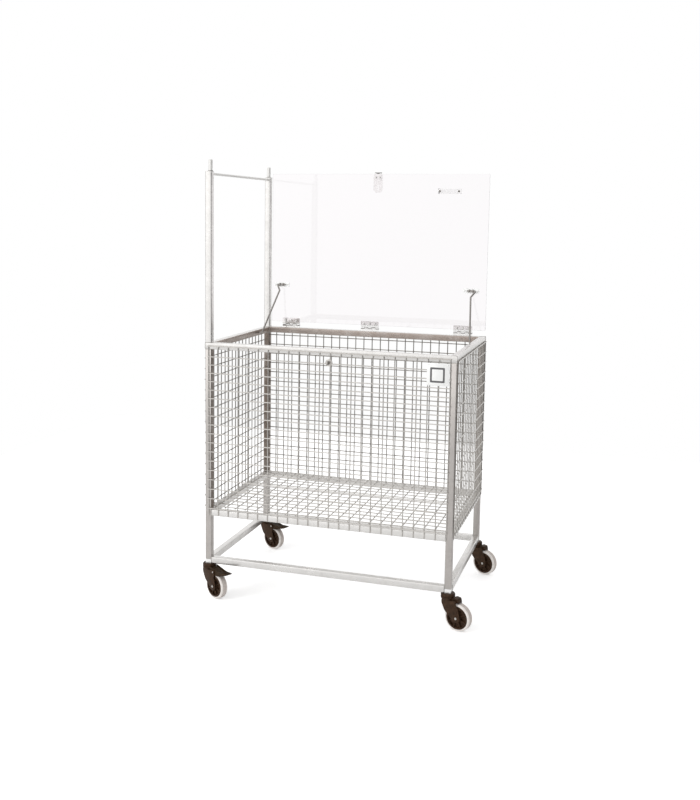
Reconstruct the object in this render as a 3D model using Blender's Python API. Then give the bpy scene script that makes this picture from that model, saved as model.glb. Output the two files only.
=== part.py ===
"""Storage trolley: a square tube frame on four casters, a wire mesh basket and a clear hinged lid.

Lengths are metres and +Z is up. The front faces -Y. The trolley stands with its lid open, and
its origin is on the floor under the middle of its box.
"""
import bpy
import bmesh
from math import asin, cos, pi, radians, sin, sqrt
from mathutils import Matrix, Vector

# Clearances
GAP = 0.0003
BORE_CLEARANCE = 0.0003

# Tube frame
FRAME_WIDTH = 0.957
FRAME_DEPTH = 0.628
TUBE = 0.025
TUBE_WALL = 0.0015
RING_TOP = 0.985
UPRIGHT_TOP = 1.623
BASKET_RAIL_TOP = 0.343
CAP_THICKNESS = 0.002
CAP_PLUG_DEPTH = 0.012
SPIGOT_DIAMETER = 0.0155
SPIGOT_HEIGHT = 0.042
SPIGOT_CHAMFER = 0.0015
FRONT_SPIGOT_SHIFT = 0.004
TIE_ROD_DIAMETER = 0.009
TIE_ROD_DROP = 0.010

# Wire mesh, in two welded layers
WIRE = 0.004
MESH_DEPTH = 0.007
MESH_CELL = 0.115
FRONT_MESH_LEFT = 0.0147
FRONT_MESH_RIGHT = 0.0223
FRONT_MESH_DROP = 0.0125
OTHER_MESH_DROP = 0.019
FLOOR_MESH_LAP = 0.019

# Name plate
PLATE_SIZE = 0.080
PLATE_THICKNESS = 0.0015
PLATE_DROP = 0.027
PLATE_INSET = 0.025

# Lid sheet
LID_THICKNESS = 0.005
LID_FRONT_OVERHANG = 0.0105
LID_LEFT_INSET = 0.030
LID_RIGHT_INSET = 0.002
LID_EDGE_TO_AXIS = 0.012

# Lid hinges
BARREL_RADIUS = 0.0035
HINGE_PIN_RADIUS = 0.0018
HINGE_LENGTH = 0.078
HINGE_KNUCKLES = 5
LEAF_THICKNESS = 0.0015
FIXED_LEAF_REACH = 0.0245
LID_LEAF_REACH = 0.0285
HINGE_SCREW_REACH = 0.017
HINGE_SCREW_SPREAD = 0.024
LEFT_HINGE_INSET = 0.1156
RIGHT_HINGE_INSET = 0.095
MIDDLE_HINGE_SHIFT = -0.011

# Bolts through the sheet
BOLT_RADIUS = 0.002
BOLT_HEAD_RADIUS = 0.004
BOLT_HEAD_HEIGHT = 0.0022

# Lid handle
HANDLE_INSET = 0.164
HANDLE_BOLT_SPREAD = 0.078
HANDLE_DROP = 0.069
HANDLE_STRIP = 0.020
HANDLE_REACH = 0.032
HANDLE_BAR = 0.008
HANDLE_FOOT = 0.016
HANDLE_CAP_RADIUS = 0.0055
HANDLE_CAP_HEIGHT = 0.0036
HANDLE_BOLT_RADIUS = 0.0025

# Hasp and its turning staple
HASP_SHIFT = 0.0135
HASP_BARREL_RADIUS = 0.0035
HASP_PIN_RADIUS = 0.0018
HASP_AXIS_OFF_SHEET = 0.0045
HASP_WIDTH = 0.038
HASP_LENGTH = 0.080
HASP_CHAMFER = 0.010
HASP_THICKNESS = 0.002
HASP_KNUCKLE = 0.012
HASP_LEAF_WIDTH = 0.028
HASP_LEAF_REACH = 0.031
HASP_BOLT_REACH = 0.017
HASP_BOLT_SPREAD = 0.016
SLOT_WIDTH = 0.006
SLOT_LENGTH = 0.023
SLOT_FROM_AXIS = 0.060
LOCK_RADIUS = 0.013
LOCK_THICKNESS = 0.0045
LOCK_POCKET_RADIUS = 0.0053
LOCK_POCKET_DEPTH = 0.002
STAPLE_SHANK_RADIUS = 0.0025
STAPLE_EYE = 0.014
STAPLE_THICKNESS = 0.0035
STAPLE_NECK = 0.0045
STAPLE_HOLE_RADIUS = 0.0032

# Lid stays
STAY_ROD = 0.007
LEFT_STAY_INSET = 0.056
RIGHT_STAY_INSET = 0.044
STAY_BAR_LENGTH = 0.037
STAY_CRANK_INWARD = 0.017
STAY_FOOT_INSET = 0.040
STAY_AXIS_HEIGHT = 0.172
STAY_AXIS_OFF_SHEET = 0.008
STAY_CRANK_FORWARD = 0.018
STAY_CRANK_DROP = 0.024
STAY_FOOT_FROM_REAR = 0.151
STAY_BEND_RADIUS = 0.0045
SADDLE_FROM_BEND = 0.0195
SADDLE_LENGTH = 0.066
SADDLE_HEIGHT = 0.020
SADDLE_THICKNESS = 0.0030
SADDLE_EYE_RADIUS = 0.006
SADDLE_EYE_WIDTH = 0.007
SADDLE_EYE_SPREAD = 0.015
SADDLE_BOLT_SPREAD = 0.054

# Casters
CASTER_HEIGHT = 0.130
CASTER_TRAIL = 0.045
WHEEL_RADIUS = 0.050
WHEEL_SIDES = 24
TYRE_HALF_WIDTH = 0.0130
HUB_FACE = 0.0162
HUB_FACE_RADIUS = 0.0420
HUB_BOSS_RADIUS = 0.009
AXLE_RADIUS = 0.004
FORK_INNER = 0.019
FORK_CHEEK = 0.0025
FORK_NOSE = 0.0145
FORK_BOSS_RADIUS = 0.0155
FORK_NOSE_ABOVE_AXLE = 0.047
FORK_WAIST_BACK = 0.0125
FORK_WAIST_ABOVE_AXLE = 0.020
FORK_SHOULDER_TRAIL = 0.007
FORK_SHOULDER_ABOVE_AXLE = 0.035
FORK_EAR_RISE = 0.003
FORK_EAR_CHAMFER = 0.004
FORK_CROWN_REACH = 0.030
FORK_CROWN_STEP = 0.024
AXLE_END = 0.001
HEAD_RADIUS = 0.026
HEAD_HEIGHT = 0.022
HEAD_CHAMFER = 0.004
FORK_CROWN_THICKNESS = 0.0055
CROWN_CLEARANCE = 0.0045
STEM_RADIUS = 0.006
STEM_PLUG_HEIGHT = 0.038
RIVET_RADIUS = 0.009
RIVET_HEIGHT = 0.0035
PEDAL_PIN_RADIUS = 0.0025
PEDAL_PIN_TRAIL = 0.047
PEDAL_PIN_ABOVE_TYRE = 0.0075
PEDAL_TIP_TRAIL = 0.119
PEDAL_EAR_REACH = 0.007
PEDAL_HEEL = 0.0065
PEDAL_HEIGHT = 0.013
PEDAL_TOP_REACH = 0.008
PEDAL_SOLE_REACH = 0.010
PEDAL_RIDGE_HEIGHT = 0.010
PEDAL_RIDGE_BACK = 0.019
PEDAL_TIP_UNDER = 0.003
PEDAL_TIP_TOP = 0.0075
PEDAL_TAPER = 0.0035
BUMPER_TRAIL = 0.052
BUMPER_HEIGHT = 0.011
BUMPER_LEAN = 0.003
BUMPER_EAR_BACK = 0.009
FRONT_LEFT_HEADING = -28.0
REAR_LEFT_HEADING = -21.5
FRONT_RIGHT_HEADING = -19.0
REAR_RIGHT_HEADING = -21.0

# Round shapes
SMALL_SIDES = 8
ROUND_SIDES = 16

# Places that follow from the sizes above
LEFT = -FRAME_WIDTH / 2
RIGHT = FRAME_WIDTH / 2
FRONT = -FRAME_DEPTH / 2
REAR = FRAME_DEPTH / 2
HINGE_Y = REAR + BARREL_RADIUS
LID_SEAT = BOLT_HEAD_HEIGHT + GAP
HINGE_Z = RING_TOP + LID_SEAT + LID_THICKNESS + BARREL_RADIUS
LID_BOTTOM = HINGE_Z + LID_EDGE_TO_AXIS
LID_TOP = HINGE_Z + HINGE_Y - FRONT + LID_FRONT_OVERHANG
LID_INNER_FACE = REAR - LID_THICKNESS
HINGE_SCREW_PLACES = (-HINGE_SCREW_SPREAD, 0, HINGE_SCREW_SPREAD)
HASP_X = HASP_SHIFT
HASP_Y = REAR + HASP_AXIS_OFF_SHEET
HASP_Z = LID_TOP + HASP_BARREL_RADIUS
STAPLE_Z = HINGE_Z + (HASP_Y - HINGE_Y) - SLOT_FROM_AXIS
STAY_Y = LID_INNER_FACE - STAY_AXIS_OFF_SHEET
STAY_Z = HINGE_Z + STAY_AXIS_HEIGHT
STAY_INSETS = {"left": LEFT_STAY_INSET, "right": RIGHT_STAY_INSET}
MESH_FRONT_FACE = FRONT - GAP - MESH_DEPTH
AXLE_HEIGHT = WHEEL_RADIUS * cos(pi / WHEEL_SIDES)
WHEEL_TOP = AXLE_HEIGHT + WHEEL_RADIUS
CROWN_UNDER = WHEEL_TOP + CROWN_CLEARANCE
PEDAL_PIN_Z = WHEEL_TOP + PEDAL_PIN_ABOVE_TYRE


def clear_scene():
    for obj in list(bpy.data.objects):
        bpy.data.objects.remove(obj, do_unlink=True)


def material(name, colour, roughness, metallic):
    made = bpy.data.materials.new(name)
    made.use_nodes = True
    shader = made.node_tree.nodes["Principled BSDF"]
    shader.inputs["Base Color"].default_value = (*colour, 1.0)
    shader.inputs["Roughness"].default_value = roughness
    shader.inputs["Metallic"].default_value = metallic
    made.diffuse_color = (*colour, 1.0)
    return made


# Shapes

def box(low, high):
    shape = bmesh.new()
    bmesh.ops.create_cube(shape, size=1.0)
    low, high = Vector(low), Vector(high)
    for vert in shape.verts:
        vert.co = [low[i] + (vert.co[i] + 0.5) * (high[i] - low[i]) for i in range(3)]
    return shape


def turn_to(shape, axis):
    """Lay a shape that was made along +Z along +X or +Y instead."""
    if axis == "X":
        bmesh.ops.rotate(shape, verts=shape.verts, matrix=Matrix.Rotation(pi / 2, 3, "Y"))
    if axis == "Y":
        bmesh.ops.rotate(shape, verts=shape.verts, matrix=Matrix.Rotation(-pi / 2, 3, "X"))
    return shape


def turned(profile, sides, axis="Z", ring=False, centre=(0, 0, 0)):
    """Turn a profile of (radius, height) points about an axis. A ring profile is a closed loop."""
    shape = bmesh.new()
    points = [shape.verts.new((radius, 0, height)) for radius, height in profile]
    lines = [shape.edges.new(pair) for pair in zip(points, points[1:])]
    if ring:
        lines.append(shape.edges.new((points[-1], points[0])))
    bmesh.ops.spin(shape, geom=points + lines, cent=(0, 0, 0), axis=(0, 0, 1), angle=2 * pi,
                   steps=sides, use_merge=True)
    bmesh.ops.remove_doubles(shape, verts=shape.verts, dist=0.000001)
    turn_to(shape, axis)
    bmesh.ops.translate(shape, verts=shape.verts, vec=centre)
    return shape


def rod(radius, low, high, axis, centre=(0, 0, 0), sides=SMALL_SIDES):
    """A round bar along one axis, from low to high on that axis."""
    return turned([(0, low), (radius, low), (radius, high), (0, high)], sides, axis, centre=centre)


def prism(outline, low, high, axis):
    """Extrude a flat outline along X, Y or Z. Its points hold the other two coordinates."""
    place = {"X": lambda a, b: (low, a, b), "Y": lambda a, b: (a, low, b), "Z": lambda a, b: (a, b, low)}
    reach = {"X": (high - low, 0, 0), "Y": (0, high - low, 0), "Z": (0, 0, high - low)}
    shape = bmesh.new()
    face = shape.faces.new([shape.verts.new(place[axis](a, b)) for a, b in outline])
    grown = bmesh.ops.extrude_face_region(shape, geom=[face])["geom"]
    verts = [item for item in grown if isinstance(item, bmesh.types.BMVert)]
    bmesh.ops.translate(shape, verts=verts, vec=reach[axis])
    return shape


def arc(centre, radius, start, end, steps):
    """Points on an arc, with its ends given in degrees."""
    angles = [radians(start + (end - start) * step / steps) for step in range(steps + 1)]
    return [(centre[0] + radius * cos(angle), centre[1] + radius * sin(angle)) for angle in angles]


def together(shapes):
    """Put shapes that don't touch each other into one mesh."""
    joined = bmesh.new()
    for shape in shapes:
        mesh = bpy.data.meshes.new("loose")
        bmesh.ops.recalc_face_normals(shape, faces=shape.faces)
        shape.to_mesh(mesh)
        shape.free()
        joined.from_mesh(mesh)
        bpy.data.meshes.remove(mesh)
    return joined


def combine(first, second, operation):
    """Join two shapes into one closed body, or cut the second out of the first."""
    objects = []
    for shape in (first, second):
        mesh = bpy.data.meshes.new("tool")
        bmesh.ops.recalc_face_normals(shape, faces=shape.faces)
        shape.to_mesh(mesh)
        shape.free()
        obj = bpy.data.objects.new("tool", mesh)
        bpy.context.scene.collection.objects.link(obj)
        objects.append(obj)
    modifier = objects[0].modifiers.new("combine", "BOOLEAN")
    modifier.operation = operation
    modifier.solver = "EXACT"
    modifier.object = objects[1]
    depsgraph = bpy.context.evaluated_depsgraph_get()
    result = bmesh.new()
    result.from_mesh(objects[0].evaluated_get(depsgraph).to_mesh())
    for obj in objects:
        mesh = obj.data
        bpy.data.objects.remove(obj)
        bpy.data.meshes.remove(mesh)
    return result


def fused(first, *others):
    for other in others:
        first = combine(first, other, "UNION")
    return first


def cut(first, *tools):
    for tool in tools:
        first = combine(first, tool, "DIFFERENCE")
    return first


def bolt(head_radius, head_height, shank_radius, shank_length, centre, towards):
    """A bolt whose head starts at centre, and whose shank runs along Y towards -1 or +1."""
    profile = [(0, shank_length), (shank_radius, shank_length), (shank_radius, 0), (head_radius, 0),
               (0.8 * head_radius, -head_height), (0, -head_height)]
    profile = [(radius, towards * height) for radius, height in profile]
    return turned(profile, SMALL_SIDES, "Y", centre=centre)


# Objects

def place(obj, parent, location, rotation):
    bpy.context.scene.collection.objects.link(obj)
    obj.parent = parent
    obj.location = location
    obj.rotation_euler = rotation
    return obj


def solid(name, shape, finish, parent, location=(0, 0, 0), rotation=(0, 0, 0)):
    mesh = bpy.data.meshes.new(name)
    bmesh.ops.recalc_face_normals(shape, faces=shape.faces)
    shape.to_mesh(mesh)
    shape.free()
    mesh.shade_smooth()
    mesh.set_sharp_from_angle(angle=radians(35))
    mesh.materials.append(finish)
    return place(bpy.data.objects.new(name, mesh), parent, location, rotation)


def twin(source, name, parent, location=(0, 0, 0), rotation=(0, 0, 0)):
    return place(bpy.data.objects.new(name, source.data), parent, location, rotation)


def axis_empty(name, parent, location, rotation=(0, 0, 0)):
    return place(bpy.data.objects.new(name, None), parent, location, rotation)


# Tube frame

def tube(length, mitred=False):
    """A square tube along +X. Its outer top edge is the X axis, and its body lies at +Y and -Z."""
    shape = bmesh.new()
    section = Matrix.Translation((0, TUBE / 2, -TUBE / 2)) @ Matrix.Rotation(pi / 2, 4, "Y")
    bmesh.ops.create_grid(shape, x_segments=1, y_segments=1, size=TUBE / 2, matrix=section)
    bore = shape.faces[:]
    bmesh.ops.inset_region(shape, faces=bore, thickness=TUBE_WALL, use_boundary=True, use_even_offset=True)
    bmesh.ops.delete(shape, geom=bore, context="FACES_ONLY")
    grown = bmesh.ops.extrude_face_region(shape, geom=shape.faces[:])["geom"]
    far_end = [item for item in grown if isinstance(item, bmesh.types.BMVert)]
    bmesh.ops.translate(shape, verts=far_end, vec=(length, 0, 0))
    if mitred:
        weld = GAP / sqrt(2)
        for vert in shape.verts:
            inward = vert.co.y + weld
            vert.co.x += -inward if vert in far_end else inward
    return shape


# Sides of the frame: where a piece along that side starts, its turn and its length
SIDES = {
    "front": ((LEFT, FRONT), 0, FRAME_WIDTH),
    "right": ((RIGHT, FRONT), pi / 2, FRAME_DEPTH),
    "rear": ((RIGHT, REAR), pi, FRAME_WIDTH),
    "left": ((LEFT, REAR), -pi / 2, FRAME_DEPTH),
}
CORNERS = {
    "front_left": (LEFT, FRONT),
    "front_right": (RIGHT - TUBE, FRONT),
    "rear_left": (LEFT, REAR - TUBE),
    "rear_right": (RIGHT - TUBE, REAR - TUBE),
}
UPRIGHT = (0, -pi / 2, 0)


def side_place(side, along, height):
    """A point on the outer face of a side, measured along it from its start."""
    (x, y), turn, length = SIDES[side]
    return (x + along * cos(turn), y + along * sin(turn), height)


def make_frame(root, steel, zinc):
    for side, (start, turn, length) in SIDES.items():
        solid(f"ring_rail_{side}", tube(length, mitred=True), steel, root, (*start, RING_TOP), (0, 0, turn))
        clear_run = length - 2 * (TUBE + GAP)
        for name, top in (("basket_rail", BASKET_RAIL_TOP), ("stretcher", CASTER_HEIGHT + TUBE)):
            solid(f"{name}_{side}", tube(clear_run), steel, root, side_place(side, TUBE + GAP, top),
                  (0, 0, turn))
    post_length = RING_TOP - TUBE - GAP - CASTER_HEIGHT
    for corner, (x, y) in CORNERS.items():
        solid(f"post_{corner}", tube(post_length), steel, root, (x, y, CASTER_HEIGHT), UPRIGHT)
    upright_foot = RING_TOP + GAP
    upright_length = UPRIGHT_TOP - CAP_THICKNESS - GAP - upright_foot
    for name, corner, shift in (("front", "front_left", FRONT_SPIGOT_SHIFT), ("rear", "rear_left", 0.0)):
        x, y = CORNERS[corner]
        solid(f"upright_{name}", tube(upright_length), steel, root, (x, y, upright_foot), UPRIGHT)
        centre = (x + TUBE / 2, y + TUBE / 2, UPRIGHT_TOP)
        solid(f"spigot_cap_{name}", spigot_cap(shift), zinc, root, centre)
    rod_length = FRAME_DEPTH - 2 * (TUBE + GAP)
    tie_rod = rod(TIE_ROD_DIAMETER / 2, -rod_length / 2, rod_length / 2, "Y")
    solid("tie_rod", tie_rod, zinc, root, (LEFT + TUBE / 2, 0, UPRIGHT_TOP - TIE_ROD_DROP))


def spigot_cap(shift):
    """A pin on a flat cap, with a plug that fills the upright's bore. Its top face is at Z = 0."""
    half, plug = TUBE / 2, TUBE / 2 - TUBE_WALL - GAP
    cap = box((-half, -half, -CAP_THICKNESS), (half, half, 0))
    stopper = box((-plug, -plug, -CAP_THICKNESS - CAP_PLUG_DEPTH), (plug, plug, -CAP_THICKNESS / 2))
    radius = SPIGOT_DIAMETER / 2
    profile = [(0, -CAP_THICKNESS / 2), (radius, -CAP_THICKNESS / 2),
               (radius, SPIGOT_HEIGHT - SPIGOT_CHAMFER), (radius - SPIGOT_CHAMFER, SPIGOT_HEIGHT),
               (0, SPIGOT_HEIGHT)]
    return fused(cap, stopper, turned(profile, ROUND_SIDES, centre=(shift, 0, 0)))


# Wire mesh

def wire_grid(width, height, carrier):
    """A flat lattice of wires from X = 0 to width and Y = 0 to height, on the wires' centres.

    A carrier is the place along X of the wire that carries a fitting: the middle wire moves there.
    """
    shape = bmesh.new()
    columns, rows = max(1, round(width / MESH_CELL)), max(1, round(height / MESH_CELL))
    if carrier:
        columns = 2 * max(1, round(width / (2 * MESH_CELL)))
    spread = Matrix.Translation((width / 2, height / 2, 0)) @ Matrix.Diagonal((width, height, 1, 1))
    bmesh.ops.create_grid(shape, x_segments=columns, y_segments=rows, size=0.5, matrix=spread)
    holes = shape.faces[:]
    bmesh.ops.inset_individual(shape, faces=holes, thickness=WIRE / 2, use_even_offset=True)
    bmesh.ops.delete(shape, geom=holes, context="FACES_ONLY")
    for vert in shape.verts:
        if carrier and abs(vert.co.x - width / 2) < WIRE:
            vert.co.x += carrier - width / 2
        for i, size in enumerate((width, height)):
            if vert.co[i] < WIRE / 4:
                vert.co[i] = -WIRE / 2
            if vert.co[i] > size - WIRE / 4:
                vert.co[i] = size + WIRE / 2
    return shape


def wire_panel(name, width, height, finish, parent, location, rotation, carrier=None):
    panel = solid(name, wire_grid(width, height, carrier), finish, parent, location, rotation)
    thicken = panel.modifiers.new("wire depth", "SOLIDIFY")
    thicken.thickness = MESH_DEPTH
    thicken.offset = 1.0


def make_basket(root, zinc, plate_metal):
    foot = BASKET_RAIL_TOP - TUBE / 2
    wire_run = {"front": (FRONT_MESH_LEFT, FRONT_MESH_RIGHT, FRONT_MESH_DROP)}
    for side, (start, turn, length) in SIDES.items():
        first, last, drop = wire_run.get(side, (TUBE / 2, TUBE / 2, OTHER_MESH_DROP))
        x, y, z = side_place(side, first, foot)
        outward = Vector((sin(turn), -cos(turn), 0)) * GAP
        carrier = HASP_X - LEFT - first if side == "front" else None
        wire_panel(f"mesh_{side}", length - first - last, RING_TOP - drop - foot, zinc, root,
                   (x + outward.x, y + outward.y, z), (pi / 2, 0, turn), carrier)
    floor_width = FRAME_WIDTH - 2 * (TUBE - FLOOR_MESH_LAP) - WIRE
    floor_depth = FRAME_DEPTH - 2 * (TUBE + GAP) - WIRE
    wire_panel("mesh_floor", floor_width, floor_depth, zinc, root,
               (-floor_width / 2, -floor_depth / 2, BASKET_RAIL_TOP + GAP), (0, 0, 0))
    right, top = RIGHT - PLATE_INSET, RING_TOP - PLATE_DROP
    back = MESH_FRONT_FACE - GAP
    plate = box((right - PLATE_SIZE, back - PLATE_THICKNESS, top - PLATE_SIZE), (right, back, top))
    solid("name_plate", plate, plate_metal, root)


# Turning staple on the front

def make_lock(root, body_metal):
    back = MESH_FRONT_FACE - GAP
    centre = (HASP_X, back, STAPLE_Z)
    bore = STAPLE_SHANK_RADIUS + BORE_CLEARANCE
    profile = [(bore, -LOCK_THICKNESS), (bore, -LOCK_POCKET_DEPTH), (LOCK_POCKET_RADIUS, -LOCK_POCKET_DEPTH),
               (LOCK_POCKET_RADIUS, 0), (LOCK_RADIUS, 0), (LOCK_RADIUS, -0.7 * LOCK_THICKNESS),
               (LOCK_RADIUS - 0.3 * LOCK_THICKNESS, -LOCK_THICKNESS)]
    solid("lock_base", turned(profile, ROUND_SIDES, "Y", ring=True), body_metal, root, centre)
    neck_end = -LOCK_THICKNESS - STAPLE_NECK
    flange = LOCK_POCKET_RADIUS - BORE_CLEARANCE
    shank = [(0, -GAP), (flange, -GAP), (flange, GAP - LOCK_POCKET_DEPTH),
             (STAPLE_SHANK_RADIUS, GAP - LOCK_POCKET_DEPTH), (STAPLE_SHANK_RADIUS, neck_end - 0.002),
             (0, neck_end - 0.002)]
    half, thin = STAPLE_EYE / 2, STAPLE_THICKNESS / 2
    middle = neck_end - half
    outline = [(neck_end, -half), (neck_end, half)] + arc((middle, 0), half, 90, 270, 8)
    eye = prism(outline, -thin, thin, "X")
    hole = rod(STAPLE_HOLE_RADIUS, -2 * thin, 2 * thin, "X", (0, middle, 0))
    staple = cut(fused(turned(shank, SMALL_SIDES, "Y"), eye), hole)
    solid("lock_staple", staple, body_metal, root, centre)


# Lid and what is bolted to it

def hinge_centres():
    return {"left": LEFT + LEFT_HINGE_INSET, "middle": MIDDLE_HINGE_SHIFT, "right": RIGHT - RIGHT_HINGE_INSET}


def knuckle_span(number):
    pitch = HINGE_LENGTH / HINGE_KNUCKLES
    start = -HINGE_LENGTH / 2 + number * pitch
    return start + GAP / 2, start + pitch - GAP / 2


def hinge_leaf(knuckles, reach, up, screws):
    """A leaf with its own knuckles. It stands up (up = 1) or hangs down (up = -1) from the axis."""
    clear = up * (BARREL_RADIUS + GAP)
    outline = [(-HINGE_LENGTH / 2, up * reach), (-HINGE_LENGTH / 2, clear)]
    for number in knuckles:
        start, end = knuckle_span(number)
        outline += [(start + GAP, clear), (start + GAP, 0), (end - GAP, 0), (end - GAP, clear)]
    outline += [(HINGE_LENGTH / 2, clear), (HINGE_LENGTH / 2, up * reach)]
    face = -BARREL_RADIUS + GAP
    leaf = prism(outline, face, face + LEAF_THICKNESS, "Y")
    barrels = together([rod(BARREL_RADIUS, *knuckle_span(number), "X", sides=12) for number in knuckles])
    leaf = cut(fused(leaf, barrels), rod(HINGE_PIN_RADIUS + BORE_CLEARANCE, -HINGE_LENGTH, HINGE_LENGTH, "X"))
    return fused(leaf, together(screws))


def make_hinges(root, lid_empty, zinc):
    face = -BARREL_RADIUS + GAP
    grip = LID_THICKNESS + 2 * GAP + LEAF_THICKNESS / 2
    screw_places = [(shift, HINGE_SCREW_REACH) for shift in HINGE_SCREW_PLACES]
    lid_screws = [bolt(BOLT_HEAD_RADIUS, BOLT_HEAD_HEIGHT, BOLT_RADIUS, grip,
                       (x, -BARREL_RADIUS - LID_THICKNESS - GAP, z), 1) for x, z in screw_places]
    rail_screws = [bolt(BOLT_HEAD_RADIUS, BOLT_HEAD_HEIGHT, BOLT_RADIUS, LEAF_THICKNESS / 2,
                        (x, face + LEAF_THICKNESS - GAP, -z), -1) for x, z in screw_places]
    fixed_knuckles = range(0, HINGE_KNUCKLES, 2)
    lid_knuckles = range(1, HINGE_KNUCKLES, 2)
    fixed_leaf = hinge_leaf(fixed_knuckles, FIXED_LEAF_REACH, -1, rail_screws)
    lid_leaf = hinge_leaf(lid_knuckles, LID_LEAF_REACH, 1, lid_screws)
    pin = rod(HINGE_PIN_RADIUS, -HINGE_LENGTH / 2 + GAP, HINGE_LENGTH / 2 - GAP, "X")
    parts = (("fixed_leaf", fixed_leaf, root), ("lid_leaf", lid_leaf, lid_empty), ("pin", pin, root))
    for part, shape, parent in parts:
        first = None
        for name, x in hinge_centres().items():
            at = (x, HINGE_Y, HINGE_Z) if parent is root else (x, 0, 0)
            if first is None:
                first = solid(f"hinge_{name}_{part}", shape, zinc, parent, at)
            else:
                twin(first, f"hinge_{name}_{part}", parent, at)


def side_x(side, inset):
    return LEFT + inset if side == "left" else RIGHT - inset


def saddle_x(side):
    return side_x(side, STAY_INSETS[side] + SADDLE_FROM_BEND)


def lid_bolt_holes():
    """(x, z, radius) of every hole through the sheet."""
    holes = []
    for x in hinge_centres().values():
        for shift in HINGE_SCREW_PLACES:
            holes.append((x + shift, HINGE_Z + HINGE_SCREW_REACH, BOLT_RADIUS))
    for shift in (-HANDLE_BOLT_SPREAD / 2, HANDLE_BOLT_SPREAD / 2):
        holes.append((RIGHT - HANDLE_INSET + shift, LID_TOP - HANDLE_DROP, HANDLE_BOLT_RADIUS))
    for shift in (-HASP_BOLT_SPREAD / 2, HASP_BOLT_SPREAD / 2):
        holes.append((HASP_X + shift, HASP_Z - HASP_BOLT_REACH, BOLT_RADIUS))
    for shift in (-SADDLE_BOLT_SPREAD / 2, SADDLE_BOLT_SPREAD / 2):
        for side in STAY_INSETS:
            holes.append((saddle_x(side) + shift, STAY_Z, BOLT_RADIUS))
    return holes


def make_lid(lid_empty, clear_sheet):
    """The sheet, in the frame of the hinge axis."""
    sheet = box((LEFT + LID_LEFT_INSET, -BARREL_RADIUS - LID_THICKNESS, LID_BOTTOM - HINGE_Z),
                (RIGHT - LID_RIGHT_INSET, -BARREL_RADIUS, LID_TOP - HINGE_Z))
    drills = [rod(radius + BORE_CLEARANCE, -3 * LID_THICKNESS, 2 * LID_THICKNESS, "Y", (x, 0, z - HINGE_Z), 8)
              for x, z, radius in lid_bolt_holes()]
    solid("lid", cut(sheet, together(drills)), clear_sheet, lid_empty)


def make_handle(lid_empty, white):
    """A bow on the outer face, held by two capped bolts through the sheet."""
    half = HANDLE_BOLT_SPREAD / 2
    outer, inner = half + HANDLE_FOOT / 2, half - HANDLE_FOOT / 2
    slope = HANDLE_FOOT / 2
    foot, top, under = GAP, HANDLE_REACH, HANDLE_REACH - HANDLE_BAR
    shoulder = HANDLE_REACH - slope
    right_half = [(inner - slope / 2, under), (inner, under - slope), (inner, foot), (outer, foot),
                  (outer, shoulder), (outer - slope, top)]
    left_half = [(-x, y) for x, y in reversed(right_half)]
    bow = prism(right_half + left_half, -HANDLE_STRIP / 2, HANDLE_STRIP / 2, "Z")
    inner_face = -LID_THICKNESS - GAP
    bolts = [bolt(HANDLE_CAP_RADIUS, HANDLE_CAP_HEIGHT, HANDLE_BOLT_RADIUS, LID_THICKNESS + 10 * GAP,
                  (x, inner_face, 0), 1) for x in (-half, half)]
    solid("lid_handle", fused(bow, together(bolts)), white, lid_empty,
          (RIGHT - HANDLE_INSET, -BARREL_RADIUS, LID_TOP - HANDLE_DROP - HINGE_Z))


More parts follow.
